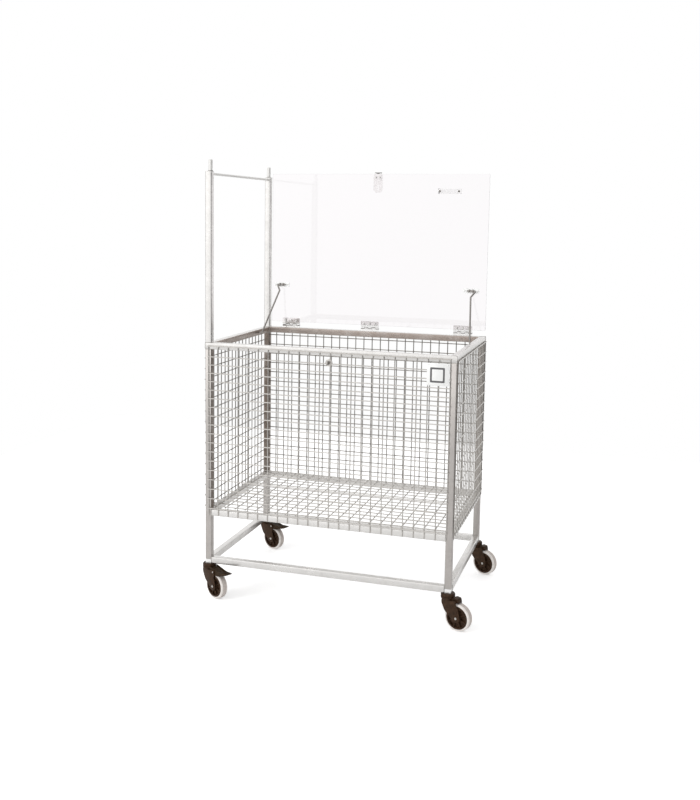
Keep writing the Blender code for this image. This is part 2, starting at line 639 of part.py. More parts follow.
def make_hasp(lid_empty, hasp_empty, zinc):
    """The leaf is in the frame of the lid, the strap in the frame of its own axis."""
    sheet = -HASP_AXIS_OFF_SHEET
    half_knuckle, half_leaf = HASP_KNUCKLE / 2, HASP_LEAF_WIDTH / 2
    clear = -HASP_BARREL_RADIUS - GAP
    tab = half_knuckle + 2 * GAP
    outline = [(-half_leaf - GAP, -HASP_LEAF_REACH), (-half_leaf - GAP, 0), (-tab, 0), (-tab, clear),
               (tab, clear), (tab, 0), (half_leaf + GAP, 0), (half_leaf + GAP, -HASP_LEAF_REACH)]
    leaf = prism(outline, sheet + GAP, sheet + GAP + LEAF_THICKNESS, "Y")
    barrels = together([rod(HASP_BARREL_RADIUS, -half_leaf, -half_knuckle - GAP, "X", sides=12),
                        rod(HASP_BARREL_RADIUS, half_knuckle + GAP, half_leaf, "X", sides=12)])
    pin = rod(HASP_PIN_RADIUS, -half_leaf + GAP, half_leaf - GAP, "X")
    grip = LID_THICKNESS + 2 * GAP + LEAF_THICKNESS / 2
    bolts = [bolt(BOLT_HEAD_RADIUS, BOLT_HEAD_HEIGHT, BOLT_RADIUS, grip,
                  (x, sheet - LID_THICKNESS - GAP, -HASP_BOLT_REACH), 1)
             for x in (-HASP_BOLT_SPREAD / 2, HASP_BOLT_SPREAD / 2)]
    base = fused(leaf, barrels, pin, together(bolts))
    solid("hasp_leaf", base, zinc, lid_empty, (HASP_X, HASP_Y - HINGE_Y, HASP_Z - HINGE_Z))

    half, thin = HASP_WIDTH / 2, HASP_THICKNESS / 2
    end = -HASP_LENGTH
    tab = half_knuckle - GAP
    shoulder = sheet - GAP
    outline = [(-tab, 0), (-tab, shoulder), (-half, shoulder), (-half, end + HASP_CHAMFER),
               (-half + HASP_CHAMFER, end), (half - HASP_CHAMFER, end), (half, end + HASP_CHAMFER),
               (half, shoulder), (tab, shoulder), (tab, 0)]
    strap = prism(outline, -thin, thin, "Y")
    barrel = rod(HASP_BARREL_RADIUS, -half_knuckle, half_knuckle, "X", sides=12)
    bore = rod(HASP_PIN_RADIUS + BORE_CLEARANCE, -half, half, "X")
    straight = (SLOT_LENGTH - SLOT_WIDTH) / 2
    slot_outline = (arc((0, -SLOT_FROM_AXIS + straight), SLOT_WIDTH / 2, 0, 180, 6)
                    + arc((0, -SLOT_FROM_AXIS - straight), SLOT_WIDTH / 2, 180, 360, 6))
    slot = prism(slot_outline, -3 * thin, 3 * thin, "Y")
    solid("hasp_strap", cut(fused(strap, barrel), bore, slot), zinc, hasp_empty)


# Lid stays

def make_saddles(lid_empty, white):
    """Plates on the sheet's inner face, each with two eyes that hold a stay's bar."""
    back = STAY_AXIS_OFF_SHEET - GAP
    half_length, half_height = SADDLE_LENGTH / 2, SADDLE_HEIGHT / 2
    plate = box((-half_length, back - SADDLE_THICKNESS, -half_height), (half_length, back, half_height))
    middles = (-SADDLE_EYE_SPREAD / 2, SADDLE_EYE_SPREAD / 2)
    eyes = together([rod(SADDLE_EYE_RADIUS, middle - SADDLE_EYE_WIDTH / 2, middle + SADDLE_EYE_WIDTH / 2, "X",
                         sides=12) for middle in middles])
    grip = SADDLE_THICKNESS / 2 + 2 * GAP + LID_THICKNESS
    bolts = together([bolt(BOLT_HEAD_RADIUS, BOLT_HEAD_HEIGHT, BOLT_RADIUS, grip,
                           (x, STAY_AXIS_OFF_SHEET + LID_THICKNESS + GAP, 0), -1)
                      for x in (-SADDLE_BOLT_SPREAD / 2, SADDLE_BOLT_SPREAD / 2)])
    bore = rod(STAY_ROD / 2 + BORE_CLEARANCE, -SADDLE_LENGTH, SADDLE_LENGTH, "X", sides=12)
    places = [(saddle_x(side), STAY_Y - HINGE_Y, STAY_Z - HINGE_Z) for side in STAY_INSETS]
    shape = fused(cut(fused(plate, eyes), bore), bolts)
    saddle = solid("stay_saddle_left", shape, white, lid_empty, places[0])
    twin(saddle, "stay_saddle_right", lid_empty, places[1])


def rounded_path(points, radius, steps):
    """The points of a bent rod, with an arc in place of each inner corner."""
    path = [points[0]]
    for before, corner, after in zip(points, points[1:], points[2:]):
        back, on = (before - corner).normalized(), (after - corner).normalized()
        half_turn = back.angle(on) / 2
        reach = min(radius / max(sin(half_turn), 0.01) * cos(half_turn), 0.45 * (before - corner).length,
                    0.45 * (after - corner).length)
        for step in range(steps + 1):
            share = step / steps
            start, end = corner + back * reach, corner + on * reach
            path.append(start.lerp(corner, share).lerp(corner.lerp(end, share), share))
    path.append(points[-1])
    return path


def make_stay(side, stay_empty, dark_steel):
    """A rod that hangs from its saddle, in the frame of the bar that turns there."""
    foot_y = REAR - STAY_FOOT_FROM_REAR - STAY_Y
    foot_z = RING_TOP - TUBE / 2 - STAY_Z
    bend = STAY_INSETS[side]
    corners = [
        Vector((side_x(side, bend + STAY_BAR_LENGTH), 0, 0)),
        Vector((side_x(side, bend), 0, 0)),
        Vector((side_x(side, bend + STAY_CRANK_INWARD), -STAY_CRANK_FORWARD, -STAY_CRANK_DROP)),
        Vector((side_x(side, STAY_FOOT_INSET), foot_y, foot_z)),
        Vector((side_x(side, TUBE + GAP), foot_y, foot_z)),
    ]
    path = rounded_path(corners, STAY_BEND_RADIUS, 3)
    curve = bpy.data.curves.new(f"stay_{side}", "CURVE")
    curve.dimensions = "3D"
    curve.bevel_depth = STAY_ROD / 2
    curve.bevel_resolution = 2
    curve.use_fill_caps = True
    spline = curve.splines.new("POLY")
    spline.points.add(len(path) - 1)
    for point, at in zip(spline.points, path):
        point.co = (*at, 1.0)
    curve.materials.append(dark_steel)
    place(bpy.data.objects.new(f"stay_{side}", curve), stay_empty, (0, 0, 0), (0, 0, 0))


# Casters: in the frame of a caster the swivel axis is Z, and the wheel trails towards +X

def caster_stem():
    """A plug that fills the post's bore, and a riveted shank that the fork turns on."""
    plug = TUBE / 2 - TUBE_WALL - GAP
    foot = CASTER_HEIGHT + GAP
    rivet_top = CROWN_UNDER - GAP
    profile = [(0, rivet_top - RIVET_HEIGHT), (0.7 * RIVET_RADIUS, rivet_top - RIVET_HEIGHT),
               (RIVET_RADIUS, rivet_top - RIVET_HEIGHT / 2), (RIVET_RADIUS, rivet_top),
               (STEM_RADIUS, rivet_top), (STEM_RADIUS, foot + STEM_PLUG_HEIGHT / 4),
               (0, foot + STEM_PLUG_HEIGHT / 4)]
    block = box((-plug, -plug, foot), (plug, plug, foot + STEM_PLUG_HEIGHT))
    return fused(block, turned(profile, 12))


def fork_cheek(inner, outer, ear_trail):
    """One side plate, from the crown down to the axle and back to the ear over the wheel."""
    crown_top = CROWN_UNDER + FORK_CROWN_THICKNESS
    lip = crown_top + FORK_EAR_RISE
    outline = [(-FORK_NOSE, crown_top - GAP), (-FORK_NOSE, AXLE_HEIGHT + FORK_NOSE_ABOVE_AXLE),
               (-FORK_NOSE + FORK_WAIST_BACK, AXLE_HEIGHT + FORK_WAIST_ABOVE_AXLE)]
    outline += arc((CASTER_TRAIL, AXLE_HEIGHT), FORK_BOSS_RADIUS, 205, 370, 6)
    outline += [(CASTER_TRAIL + FORK_SHOULDER_TRAIL, AXLE_HEIGHT + FORK_SHOULDER_ABOVE_AXLE),
                (ear_trail, CROWN_UNDER - FORK_EAR_RISE),
                (ear_trail, lip - FORK_EAR_CHAMFER / 2), (ear_trail - FORK_EAR_CHAMFER, lip),
                (FORK_CROWN_REACH + 0.001, lip), (FORK_CROWN_STEP, crown_top - GAP)]
    return prism(outline, inner, outer, "Y")


def fork(braked):
    """Swivel head, crown, two cheeks and the axle. A fork with a brake has the pedal's pin."""
    head_top = CASTER_HEIGHT - GAP
    head_bottom = head_top - HEAD_HEIGHT
    crown_top = CROWN_UNDER + FORK_CROWN_THICKNESS
    outer = FORK_INNER + FORK_CHEEK
    head = turned([(0, head_bottom), (HEAD_RADIUS, head_bottom), (HEAD_RADIUS, head_top - HEAD_CHAMFER),
                   (HEAD_RADIUS - HEAD_CHAMFER, head_top), (0, head_top)], ROUND_SIDES)
    crown = box((-FORK_NOSE, -outer + GAP, CROWN_UNDER), (FORK_CROWN_REACH, outer - GAP, crown_top))
    ear = PEDAL_PIN_TRAIL + PEDAL_EAR_REACH if braked else BUMPER_TRAIL - BUMPER_EAR_BACK
    cheeks = together([fork_cheek(-outer, -FORK_INNER, ear), fork_cheek(FORK_INNER, outer, ear)])
    end = outer + AXLE_END
    axle = rod(AXLE_RADIUS, -end, end, "Y", (CASTER_TRAIL, 0, AXLE_HEIGHT), 12)
    if braked:
        extra = rod(PEDAL_PIN_RADIUS, -end, end, "Y", (PEDAL_PIN_TRAIL, 0, PEDAL_PIN_Z))
    else:
        bumper_top = crown_top + BUMPER_HEIGHT
        outline = [(FORK_CROWN_STEP, CROWN_UNDER + GAP), (BUMPER_TRAIL + BUMPER_LEAN, CROWN_UNDER + GAP),
                   (BUMPER_TRAIL, bumper_top), (FORK_CROWN_STEP, bumper_top)]
        extra = prism(outline, -FORK_INNER + 0.003, FORK_INNER - 0.003, "Y")
    bore = rod(STEM_RADIUS + BORE_CLEARANCE, CROWN_UNDER - 0.01, head_top + 0.01, "Z", sides=12)
    return cut(fused(head, crown, cheeks, axle, extra), bore)


def wheel():
    """Tyre and hub moulded as one, turned about Y. One flat of the tread faces down."""
    bore = AXLE_RADIUS + BORE_CLEARANCE
    boss = FORK_INNER - GAP
    half = [(bore, boss), (HUB_BOSS_RADIUS, boss), (HUB_BOSS_RADIUS, HUB_FACE), (HUB_FACE_RADIUS, HUB_FACE),
            (WHEEL_RADIUS - 0.0015, TYRE_HALF_WIDTH), (WHEEL_RADIUS, TYRE_HALF_WIDTH - 0.0045)]
    profile = half + [(radius, -height) for radius, height in reversed(half)]
    shape = turned(profile, WHEEL_SIDES, ring=True)
    bmesh.ops.rotate(shape, verts=shape.verts, matrix=Matrix.Rotation(pi / WHEEL_SIDES, 3, "Z"))
    return turn_to(shape, "Y")


def brake_pedal():
    """A wedge over the wheel, in the frame of its pin. Its tip is narrower than its root."""
    root_half = FORK_INNER - 0.0005
    tip_half = root_half - PEDAL_TAPER
    tip = PEDAL_TIP_TRAIL - PEDAL_PIN_TRAIL
    under = -PEDAL_PIN_RADIUS - 0.0015
    outline = [(-PEDAL_HEEL, under), (PEDAL_SOLE_REACH, under), (tip, PEDAL_TIP_UNDER),
               (tip + 0.001, PEDAL_TIP_TOP), (tip - PEDAL_RIDGE_BACK, PEDAL_RIDGE_HEIGHT),
               (PEDAL_TOP_REACH, PEDAL_HEIGHT), (-PEDAL_HEEL, PEDAL_HEIGHT)]
    shape = prism(outline, -root_half, root_half, "Y")
    for vert in shape.verts:
        share = max(0.0, min(1.0, vert.co.x / tip))
        vert.co.y *= 1 + share * (tip_half / root_half - 1)
    return cut(shape, rod(PEDAL_PIN_RADIUS + BORE_CLEARANCE, -2 * root_half, 2 * root_half, "Y"))


def make_casters(root, zinc, black, tyre_grey):
    headings = {
        "front_left": (FRONT_LEFT_HEADING, True),
        "rear_left": (REAR_LEFT_HEADING, True),
        "front_right": (FRONT_RIGHT_HEADING, False),
        "rear_right": (REAR_RIGHT_HEADING, False),
    }
    first = {}

    def made_once(kind, shape_maker, name, finish, parent, location):
        if kind in first:
            twin(first[kind], name, parent, location)
        else:
            first[kind] = solid(name, shape_maker(), finish, parent, location)

    for corner, (heading, braked) in headings.items():
        x, y = CORNERS[corner]
        centre = (x + TUBE / 2, y + TUBE / 2, 0)
        made_once("stem", caster_stem, f"caster_{corner}_stem", zinc, root, centre)
        swivel = axis_empty(f"axis_caster_{corner}", root, centre, (0, 0, radians(heading)))
        made_once(f"fork {braked}", lambda: fork(braked), f"caster_{corner}_fork", black, swivel, (0, 0, 0))
        made_once("wheel", wheel, f"caster_{corner}_wheel", tyre_grey, swivel, (CASTER_TRAIL, 0, AXLE_HEIGHT))
        if braked:
            made_once("pedal", brake_pedal, f"caster_{corner}_brake_pedal", black, swivel,
                      (PEDAL_PIN_TRAIL, 0, PEDAL_PIN_Z))


def stand_on_origin(root):
    """Move the trolley so that the origin is on the floor, under the middle of its box."""
    bpy.context.view_layer.update()
    depsgraph = bpy.context.evaluated_depsgraph_get()
    points = []
    for obj in bpy.data.objects:
        if obj.type != "EMPTY":
            seen = obj.evaluated_get(depsgraph)
            points += [seen.matrix_world @ vert.co for vert in seen.to_mesh().vertices]
            seen.to_mesh_clear()
    low = [min(point[i] for point in points) for i in range(3)]
    high = [max(point[i] for point in points) for i in range(3)]
    root.location = (-(low[0] + high[0]) / 2, -(low[1] + high[1]) / 2, -low[2])


def main():
    clear_scene()
    steel = material("galvanised tube", (0.60, 0.60, 0.59), 0.38, 0.9)
    zinc = material("zinc plated wire", (0.66, 0.66, 0.64), 0.32, 0.9)
    plate_metal = material("plain aluminium plate", (0.78, 0.78, 0.78), 0.30, 0.8)
    clear_sheet = material("clear sheet", (0.86, 0.84, 0.85), 0.05, 0.0)
    black = material("black moulding", (0.03, 0.028, 0.027), 0.45, 0.0)
    tyre_grey = material("grey tyre", (0.62, 0.60, 0.58), 0.55, 0.0)
    white = material("white moulding", (0.80, 0.80, 0.78), 0.40, 0.0)
    dark_steel = material("dull steel rod", (0.33, 0.32, 0.31), 0.42, 0.8)

    root = axis_empty("trolley", None, (0, 0, 0))
    lid_empty = axis_empty("axis_lid", root, (0, HINGE_Y, HINGE_Z))
    hasp_empty = axis_empty("axis_hasp", lid_empty, (HASP_X, HASP_Y - HINGE_Y, HASP_Z - HINGE_Z))
    make_frame(root, steel, zinc)
    make_basket(root, zinc, plate_metal)
    make_lock(root, zinc)
    make_hinges(root, lid_empty, zinc)
    make_lid(lid_empty, clear_sheet)
    make_handle(lid_empty, white)
    make_hasp(lid_empty, hasp_empty, zinc)
    make_saddles(lid_empty, white)
    for side in STAY_INSETS:
        stay_empty = axis_empty(f"axis_stay_{side}", lid_empty, (0, STAY_Y - HINGE_Y, STAY_Z - HINGE_Z))
        make_stay(side, stay_empty, dark_steel)
    make_casters(root, zinc, black, tyre_grey)
    stand_on_origin(root)


main()
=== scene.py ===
"""Looks of the storage trolley: square tubes, welded wire, clear lid, fittings and casters.

Lengths are metres, in the frame of the solids: X to the right, Y to the rear and Z up. Most sizes
and places are read from the solids' boxes.
"""
import random
from math import atan2, cos, pi, radians, sin, tan

import bmesh
import bpy
from mathutils import Matrix, Vector


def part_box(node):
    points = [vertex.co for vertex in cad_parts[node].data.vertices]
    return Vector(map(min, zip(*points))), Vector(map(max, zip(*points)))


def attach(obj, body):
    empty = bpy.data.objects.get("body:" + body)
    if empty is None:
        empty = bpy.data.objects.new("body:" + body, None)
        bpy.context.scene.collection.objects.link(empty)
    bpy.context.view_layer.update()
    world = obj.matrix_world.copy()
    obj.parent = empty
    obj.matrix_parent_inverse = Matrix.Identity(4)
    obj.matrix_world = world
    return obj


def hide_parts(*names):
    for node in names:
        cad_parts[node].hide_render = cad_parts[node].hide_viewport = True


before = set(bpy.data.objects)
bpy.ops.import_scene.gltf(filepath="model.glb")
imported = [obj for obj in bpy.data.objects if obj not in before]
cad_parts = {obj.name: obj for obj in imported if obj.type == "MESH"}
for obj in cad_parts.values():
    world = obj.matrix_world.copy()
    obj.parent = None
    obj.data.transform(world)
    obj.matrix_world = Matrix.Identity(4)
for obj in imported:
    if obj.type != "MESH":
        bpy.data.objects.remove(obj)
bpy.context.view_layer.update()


def middle(node):
    low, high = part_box(node)
    return (low + high) / 2


def at(x, y, z):
    return Matrix.Translation((x, y, z))


# Turns that stand a flat plate up to face the front, and lay a turned part along X
UPRIGHT = Matrix.Rotation(pi / 2, 4, "X")
LYING = Matrix.Rotation(pi / 2, 4, "Y")
QUARTERS = ((-1, -1), (1, -1), (1, 1), (-1, 1))

# Sizes of the frame. GAP keeps neighbouring pieces apart, and DROP is the length of a drop of weld
SIDES = ("front", "right", "rear", "left")
LOWER_RAILS = ("basket_rail", "stretcher")
LEFT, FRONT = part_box("post_front_left")[0].xy
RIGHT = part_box("post_front_right")[1].x
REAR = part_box("post_rear_left")[1].y
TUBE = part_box("post_front_left")[1].x - LEFT
TUBE_WALL = 0.0015
TUBE_CORNER = 0.0030
RING_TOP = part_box("ring_rail_front")[1].z
POST_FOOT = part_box("post_front_left")[0].z
BASKET_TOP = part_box("basket_rail_front")[1].z
CAP = 0.002
SPIGOT = 0.00775
WELD = 0.0012
DROP = 0.0016
GAP = 0.0003

# Wire mesh. The front panel's rows open out a little from the ring downwards
WIRE = 0.002
MESH_LAP = 0.0009
FRONT_PITCH = 0.040
FRONT_ROW, FRONT_ROW_PITCH, FRONT_ROW_GROWTH = 0.0526, 0.0308, 0.000208
ROW_PITCH = 0.0408

# Lid and its fittings. A bolt is its radius, the height of its head and its shank
LID_LOW, LID_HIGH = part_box("lid")
HINGE = middle("hinge_left_pin")
KNUCKLES = 5
HINGE_LENGTH = 0.078
HINGE_SEAM = 0.0026
BARREL = 0.0035
LEAF = 0.0015
SCREW_REACH = 0.017
SCREW_SPREAD = 0.024
SCREW_HOLE = 0.0023
LID_BOLT = (0.0040, 0.0022, 0.0055)
HASP = Vector((middle("hasp_strap").x, middle("hasp_strap").y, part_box("hasp_strap")[1].z - BARREL))
HASP_BOLT = 0.008
HANDLE = Vector((middle("lid_handle").x, LID_HIGH.y, middle("lid_handle").z))
HANDLE_BOLT = 0.039
STAY_ROD = 0.0035
SADDLE_BOLT = 0.027
SADDLE_FROM_BEND = 0.0195

# Casters
CASTERS = ("front_left", "rear_left", "front_right", "rear_right")
BRAKED = ("front_left", "rear_left")
WHEEL = middle("caster_front_left_wheel").z
TRAIL = 0.045
CHEEK_IN, CHEEK_OUT = 0.0190, 0.0215
PEDAL_PIN_X, PEDAL_PIN_Z = 0.047, 2 * WHEEL + 0.0075


# Shape helpers

def mesh_of(name, shape):
    mesh = bpy.data.meshes.new(name)
    shape.to_mesh(mesh)
    shape.free()
    return mesh


def new_object(name, data):
    made = bpy.data.objects.new(name, data)
    bpy.context.scene.collection.objects.link(made)
    return made


def join(shape, part, place=None):
    """Add a finished part to a shape."""
    bmesh.ops.recalc_face_normals(part, faces=part.faces)
    mesh = mesh_of("part", part)
    if place is not None:
        mesh.transform(place)
    shape.from_mesh(mesh)
    bpy.data.meshes.remove(mesh)


def soften(part, edges, radius, segments=2):
    bmesh.ops.bevel(part, geom=list(edges), offset=radius, segments=segments, profile=0.5, affect="EDGES",
                    clamp_overlap=True, material=-1)


def block(shape, low, high, edge, place=None):
    """A block between two corners, with all its edges rounded."""
    part = bmesh.new()
    low, high = Vector(low), Vector(high)
    bmesh.ops.create_cube(part, size=1, matrix=Matrix.LocRotScale((low + high) / 2, None, high - low))
    soften(part, part.edges, edge)
    join(shape, part, place)


def draw_loop(part, points):
    """Draw a closed loop in the XY plane. A third value sets how far that corner is rounded, at most to
    just under the middle of the shorter edge beside it."""
    verts = [part.verts.new((point[0], point[1], 0)) for point in points]
    spans = [part.edges.new(pair).calc_length() for pair in zip(verts, verts[1:] + verts[:1])]
    for number, (vert, point) in enumerate(zip(verts, points)):
        if len(point) > 2:
            reach = min(point[2], 0.48 * spans[number - 1], 0.48 * spans[number])
            bmesh.ops.bevel(part, geom=[vert], offset=reach, segments=5, profile=0.5, affect="VERTICES",
                            clamp_overlap=True, material=-1)


def rounded_box_loop(half_x, half_y, corner):
    return [(x * half_x, y * half_y, corner) for x, y in QUARTERS]


def mirrored(points):
    """An outline's points, followed by the same points mirrored across X = 0."""
    return points + [(-x, *rest) for x, *rest in reversed(points)]


def plate(shape, outline, thickness, place, holes=(), cutouts=(), edge=0.0003, segments=1):
    """A plate on the XY plane of place, as thick as its +Z, with round holes (x, y, radius) and cut-outs.
    Its edges sharper than 60 degrees are rounded."""
    part = bmesh.new()
    draw_loop(part, outline)
    for cutout in cutouts:
        draw_loop(part, cutout)
    for x, y, radius in holes:
        bmesh.ops.create_circle(part, segments=20, radius=radius, matrix=at(x, y, 0))
    bmesh.ops.triangle_fill(part, use_beauty=True, edges=part.edges[:], normal=(0, 0, 1))
    grown = bmesh.ops.extrude_face_region(part, geom=part.faces[:])["geom"]
    top = [item for item in grown if isinstance(item, bmesh.types.BMVert)]
    bmesh.ops.translate(part, verts=top, vec=(0, 0, thickness))
    bmesh.ops.recalc_face_normals(part, faces=part.faces)
    sharp = [side for side in part.edges if side.is_manifold and side.calc_face_angle() > radians(60)]
    soften(part, sharp, edge, segments)
    join(shape, part, place)


def turned(shape, profile, place, steps=32, ring=False):
    """Spin (radius, height) points about the Z axis of place. A ring has a hole in its middle."""
    part = bmesh.new()
    verts = [part.verts.new((radius, 0, height)) for radius, height in profile]
    pairs = list(zip(verts, verts[1:]))
    if ring:
        pairs.append((verts[-1], verts[0]))
    edges = [part.edges.new(pair) for pair in pairs]
    bmesh.ops.spin(part, geom=verts + edges, cent=(0, 0, 0), axis=(0, 0, 1), angle=2 * pi, steps=steps,
                   use_merge=True)
    bmesh.ops.remove_doubles(part, verts=part.verts, dist=0.000001)
    join(shape, part, place)


def turned_even(shape, half, place, steps):
    """A turned ring whose profile is the same on both sides of the XY plane."""
    turned(shape, half + [(radius, -height) for radius, height in reversed(half)], place, steps, ring=True)


def aimed(direction):
    """A turn that brings the Z axis to a direction."""
    return Vector(direction).to_track_quat("Z", "Y").to_matrix().to_4x4()


def rod(shape, path, radius, sides, closed=False, girth=None):
    """A round bar: a circle is extruded along the path and turned at each point. girth(i) scales it there."""
    part = bmesh.new()
    last = len(path) - 1
    aims = []
    for i in range(last + 1):
        before = path[i - 1] if i or closed else path[i]
        after = path[(i + 1) % (last + 1)] if i < last or closed else path[i]
        aims.append((after - before).normalized())
    size = girth(0) if girth else 1
    bmesh.ops.create_circle(part, segments=sides, radius=radius * size, matrix=at(*path[0]) @ aimed(aims[0]))
    ring = part.edges[:]
    here = 0
    for there in list(range(1, last + 1)) + ([0] if closed else []):
        grown = bmesh.ops.extrude_edge_only(part, edges=ring)["geom"]
        verts = [item for item in grown if isinstance(item, bmesh.types.BMVert)]
        ring = [item for item in grown if isinstance(item, bmesh.types.BMEdge)]
        scale = (girth(there) / girth(here)) if girth else 1
        turn = aims[here].rotation_difference(aims[there]).to_matrix().to_4x4()
        step = at(*path[there]) @ turn @ Matrix.Scale(scale, 4) @ at(*-path[here])
        bmesh.ops.transform(part, matrix=step, verts=verts)
        here = there
    if closed:
        bmesh.ops.remove_doubles(part, verts=part.verts, dist=0.00001)
    else:
        bmesh.ops.holes_fill(part, edges=part.edges[:], sides=0)
    join(shape, part)


def bent(points, bend):
    """A path of straight runs with a smooth bend of eight steps at each inner point."""
    path = [points[0]]
    for before, corner, after in zip(points, points[1:], points[2:]):
        reach = min(bend / tan((before - corner).angle(after - corner) / 2),
                    0.45 * (before - corner).length, 0.45 * (after - corner).length)
        start = corner + (before - corner).normalized() * reach
        end = corner + (after - corner).normalized() * reach
        for step in range(9):
            share = step / 8
            path.append(start.lerp(corner, share).lerp(corner.lerp(end, share), share))
    return path + [points[-1]]


def screw_head(shape, place, radius, height, shank=0.0):
    """A button head with its socket, standing on the XY plane of place, and a shank below it."""
    profile = [(0, 0.3 * height), (0.36 * radius, 0.3 * height), (0.40 * radius, height),
               (0.64 * radius, 0.92 * height), (0.88 * radius, 0.62 * height), (radius, 0.2 * height),
               (radius, 0)]
    profile += [(0.0019, 0), (0.0019, -shank), (0, -shank)] if shank else [(0, 0)]
    turned(shape, profile, place, 24)


# Materials

def linear(code):
    """The linear colour of an sRGB hex value."""
    shares = [int(code[i:i + 2], 16) / 255 for i in (1, 3, 5)]
    return (*[share / 12.92 if share <= 0.04045 else ((share + 0.055) / 1.055) ** 2.4 for share in shares], 1)


def add(tree, kind, sockets=(), **settings):
    """Add a node and give its outputs. Each socket takes a value or an output of another node."""
    made = tree.nodes.new("ShaderNode" + kind)
    for name, value in settings.items():
        setattr(made, name, value)
    for socket, value in dict(sockets).items():
        if isinstance(value, bpy.types.NodeSocket):
            tree.links.new(value, made.inputs[socket])
        else:
            made.inputs[socket].default_value = value
    return made.outputs


def calc(tree, operation, *values):
    return add(tree, "Math", dict(enumerate(values)), operation=operation)[0]


def blend(tree, share, start, end):
    return add(tree, "MixRGB", {"Fac": share, "Color1": start, "Color2": end})["Color"]


def noise(tree, place, size, detail, roughness=0.5, output="Fac"):
    """Cloudy noise whose largest patches have about that size."""
    return add(tree, "TexNoise", {"Vector": place, "Scale": 1 / size, "Detail": detail,
                                  "Roughness": roughness})[output]


def ranged(tree, value, reads=(0, 1), gives=(0, 1), **settings):
    """Map a value from the range it is read in to the range it gives, and hold it within that."""
    return add(tree, "MapRange", {"Value": value, "From Min": reads[0], "From Max": reads[1],
                                  "To Min": gives[0], "To Max": gives[1]}, **settings)["Result"]


def start_finish(name, **sockets):
    """A material with its Principled shader. The sockets are the values that are even all over."""
    made = bpy.data.materials.new(name)
    made.use_nodes = True
    shader = made.node_tree.nodes["Principled BSDF"].inputs
    for socket, value in sockets.items():
        shader[socket.replace("_", " ")].default_value = value
    return made, made.node_tree, shader


def connect(tree, shader, **sources):
    for socket, source in sources.items():
        tree.links.new(source, shader[socket.replace("_", " ")])


def finish_surface(tree, shader, tone, dark, light, gloss, grain, depth):
    """Drive colour and roughness by a tone from 0 to 1, and the bump by a grain height."""
    connect(tree, shader, Base_Color=blend(tree, tone, linear(dark), linear(light)),
            Roughness=ranged(tree, tone, gives=gloss),
            Normal=add(tree, "Bump", {"Height": grain, "Strength": 0.5, "Distance": depth})["Normal"])


def hazed(name, haze, grain, dark, light, gloss, depth, stretch=None, span=None, **sockets):
    """A finish whose colour and gloss drift with a soft haze, over a fine grain in relief. haze and grain
    are a size, a level of detail and, if need be, a roughness. A stretch below 1 draws both out along that
    axis, and a span is the part of the haze that shows."""
    made, tree, shader = start_finish(name, **sockets)
    place = add(tree, "TexCoord")["Object"]
    if stretch:
        place = add(tree, "Mapping", {"Vector": place, "Scale": stretch})["Vector"]
    tone = noise(tree, place, *haze)
    if span:
        tone = ranged(tree, tone, span)
    finish_surface(tree, shader, tone, dark, light, gloss, noise(tree, place, *grain), depth)
    return made


def galvanised_tube(name, dark, light, gloss):
    """Galvanised steel tube. Dipped zinc dulls to pale silver, with soft crystals 9 mm across that catch
    the light a little differently, clouds of handling about 60 mm long and a fine dry grain."""
    made, tree, shader = start_finish(name, Metallic=0.95)
    place = add(tree, "TexCoord")["Object"]
    bent_place = blend(tree, 0.008, place, noise(tree, place, 0.012, 2, output="Color"))
    crystals = add(tree, "TexVoronoi", {"Vector": bent_place, "Scale": 1 / 0.009})["Color"]
    crystal = add(tree, "SeparateColor", {"Color": crystals})["Red"]
    cloud = ranged(tree, noise(tree, place, 0.060, 5, 0.62), (0.30, 0.68))
    both = add(tree, "Mix", {0: 0.30, 2: cloud, 3: crystal}, data_type="FLOAT")[0]
    finish_surface(tree, shader, both, dark, light, gloss, noise(tree, place, 0.0012, 3), 0.00002)
    return made


def shade_inside(made, shade_tone, meeting):
    """Brownish painted shade and painted reflection on the faces that look into the basket, a little patchy.
    A rail has them where it is inside the ring both ways (MULTIPLY), a post where it is inside one way
    (MAXIMUM)."""
    tree = made.node_tree
    base = tree.nodes["Principled BSDF"].inputs["Base Color"]
    place = add(tree, "TexCoord")["Object"]
    way = add(tree, "SeparateXYZ", {0: place})
    inside = []
    for axis, low, high in (("X", LEFT, RIGHT), ("Y", FRONT, REAR)):
        off = calc(tree, "ABSOLUTE", calc(tree, "SUBTRACT", way[axis], (low + high) / 2))
        inside.append(calc(tree, "LESS_THAN", off, (high - low) / 2 - TUBE + 0.001))
    above = calc(tree, "GREATER_THAN", way["Z"], BASKET_TOP)
    below = calc(tree, "LESS_THAN", way["Z"], RING_TOP)
    # These marks are painted shade, not rubbing
    marks = calc(tree, "MULTIPLY", calc(tree, meeting, *inside), calc(tree, "MULTIPLY", above, below))
    strength = ranged(tree, noise(tree, place, 0.045, 4, 0.6), (0.3, 0.6), (0.75, 1))
    marks = calc(tree, "MULTIPLY", marks, strength)
    tree.links.new(blend(tree, marks, base.links[0].from_socket, linear(shade_tone)), base)
    return made


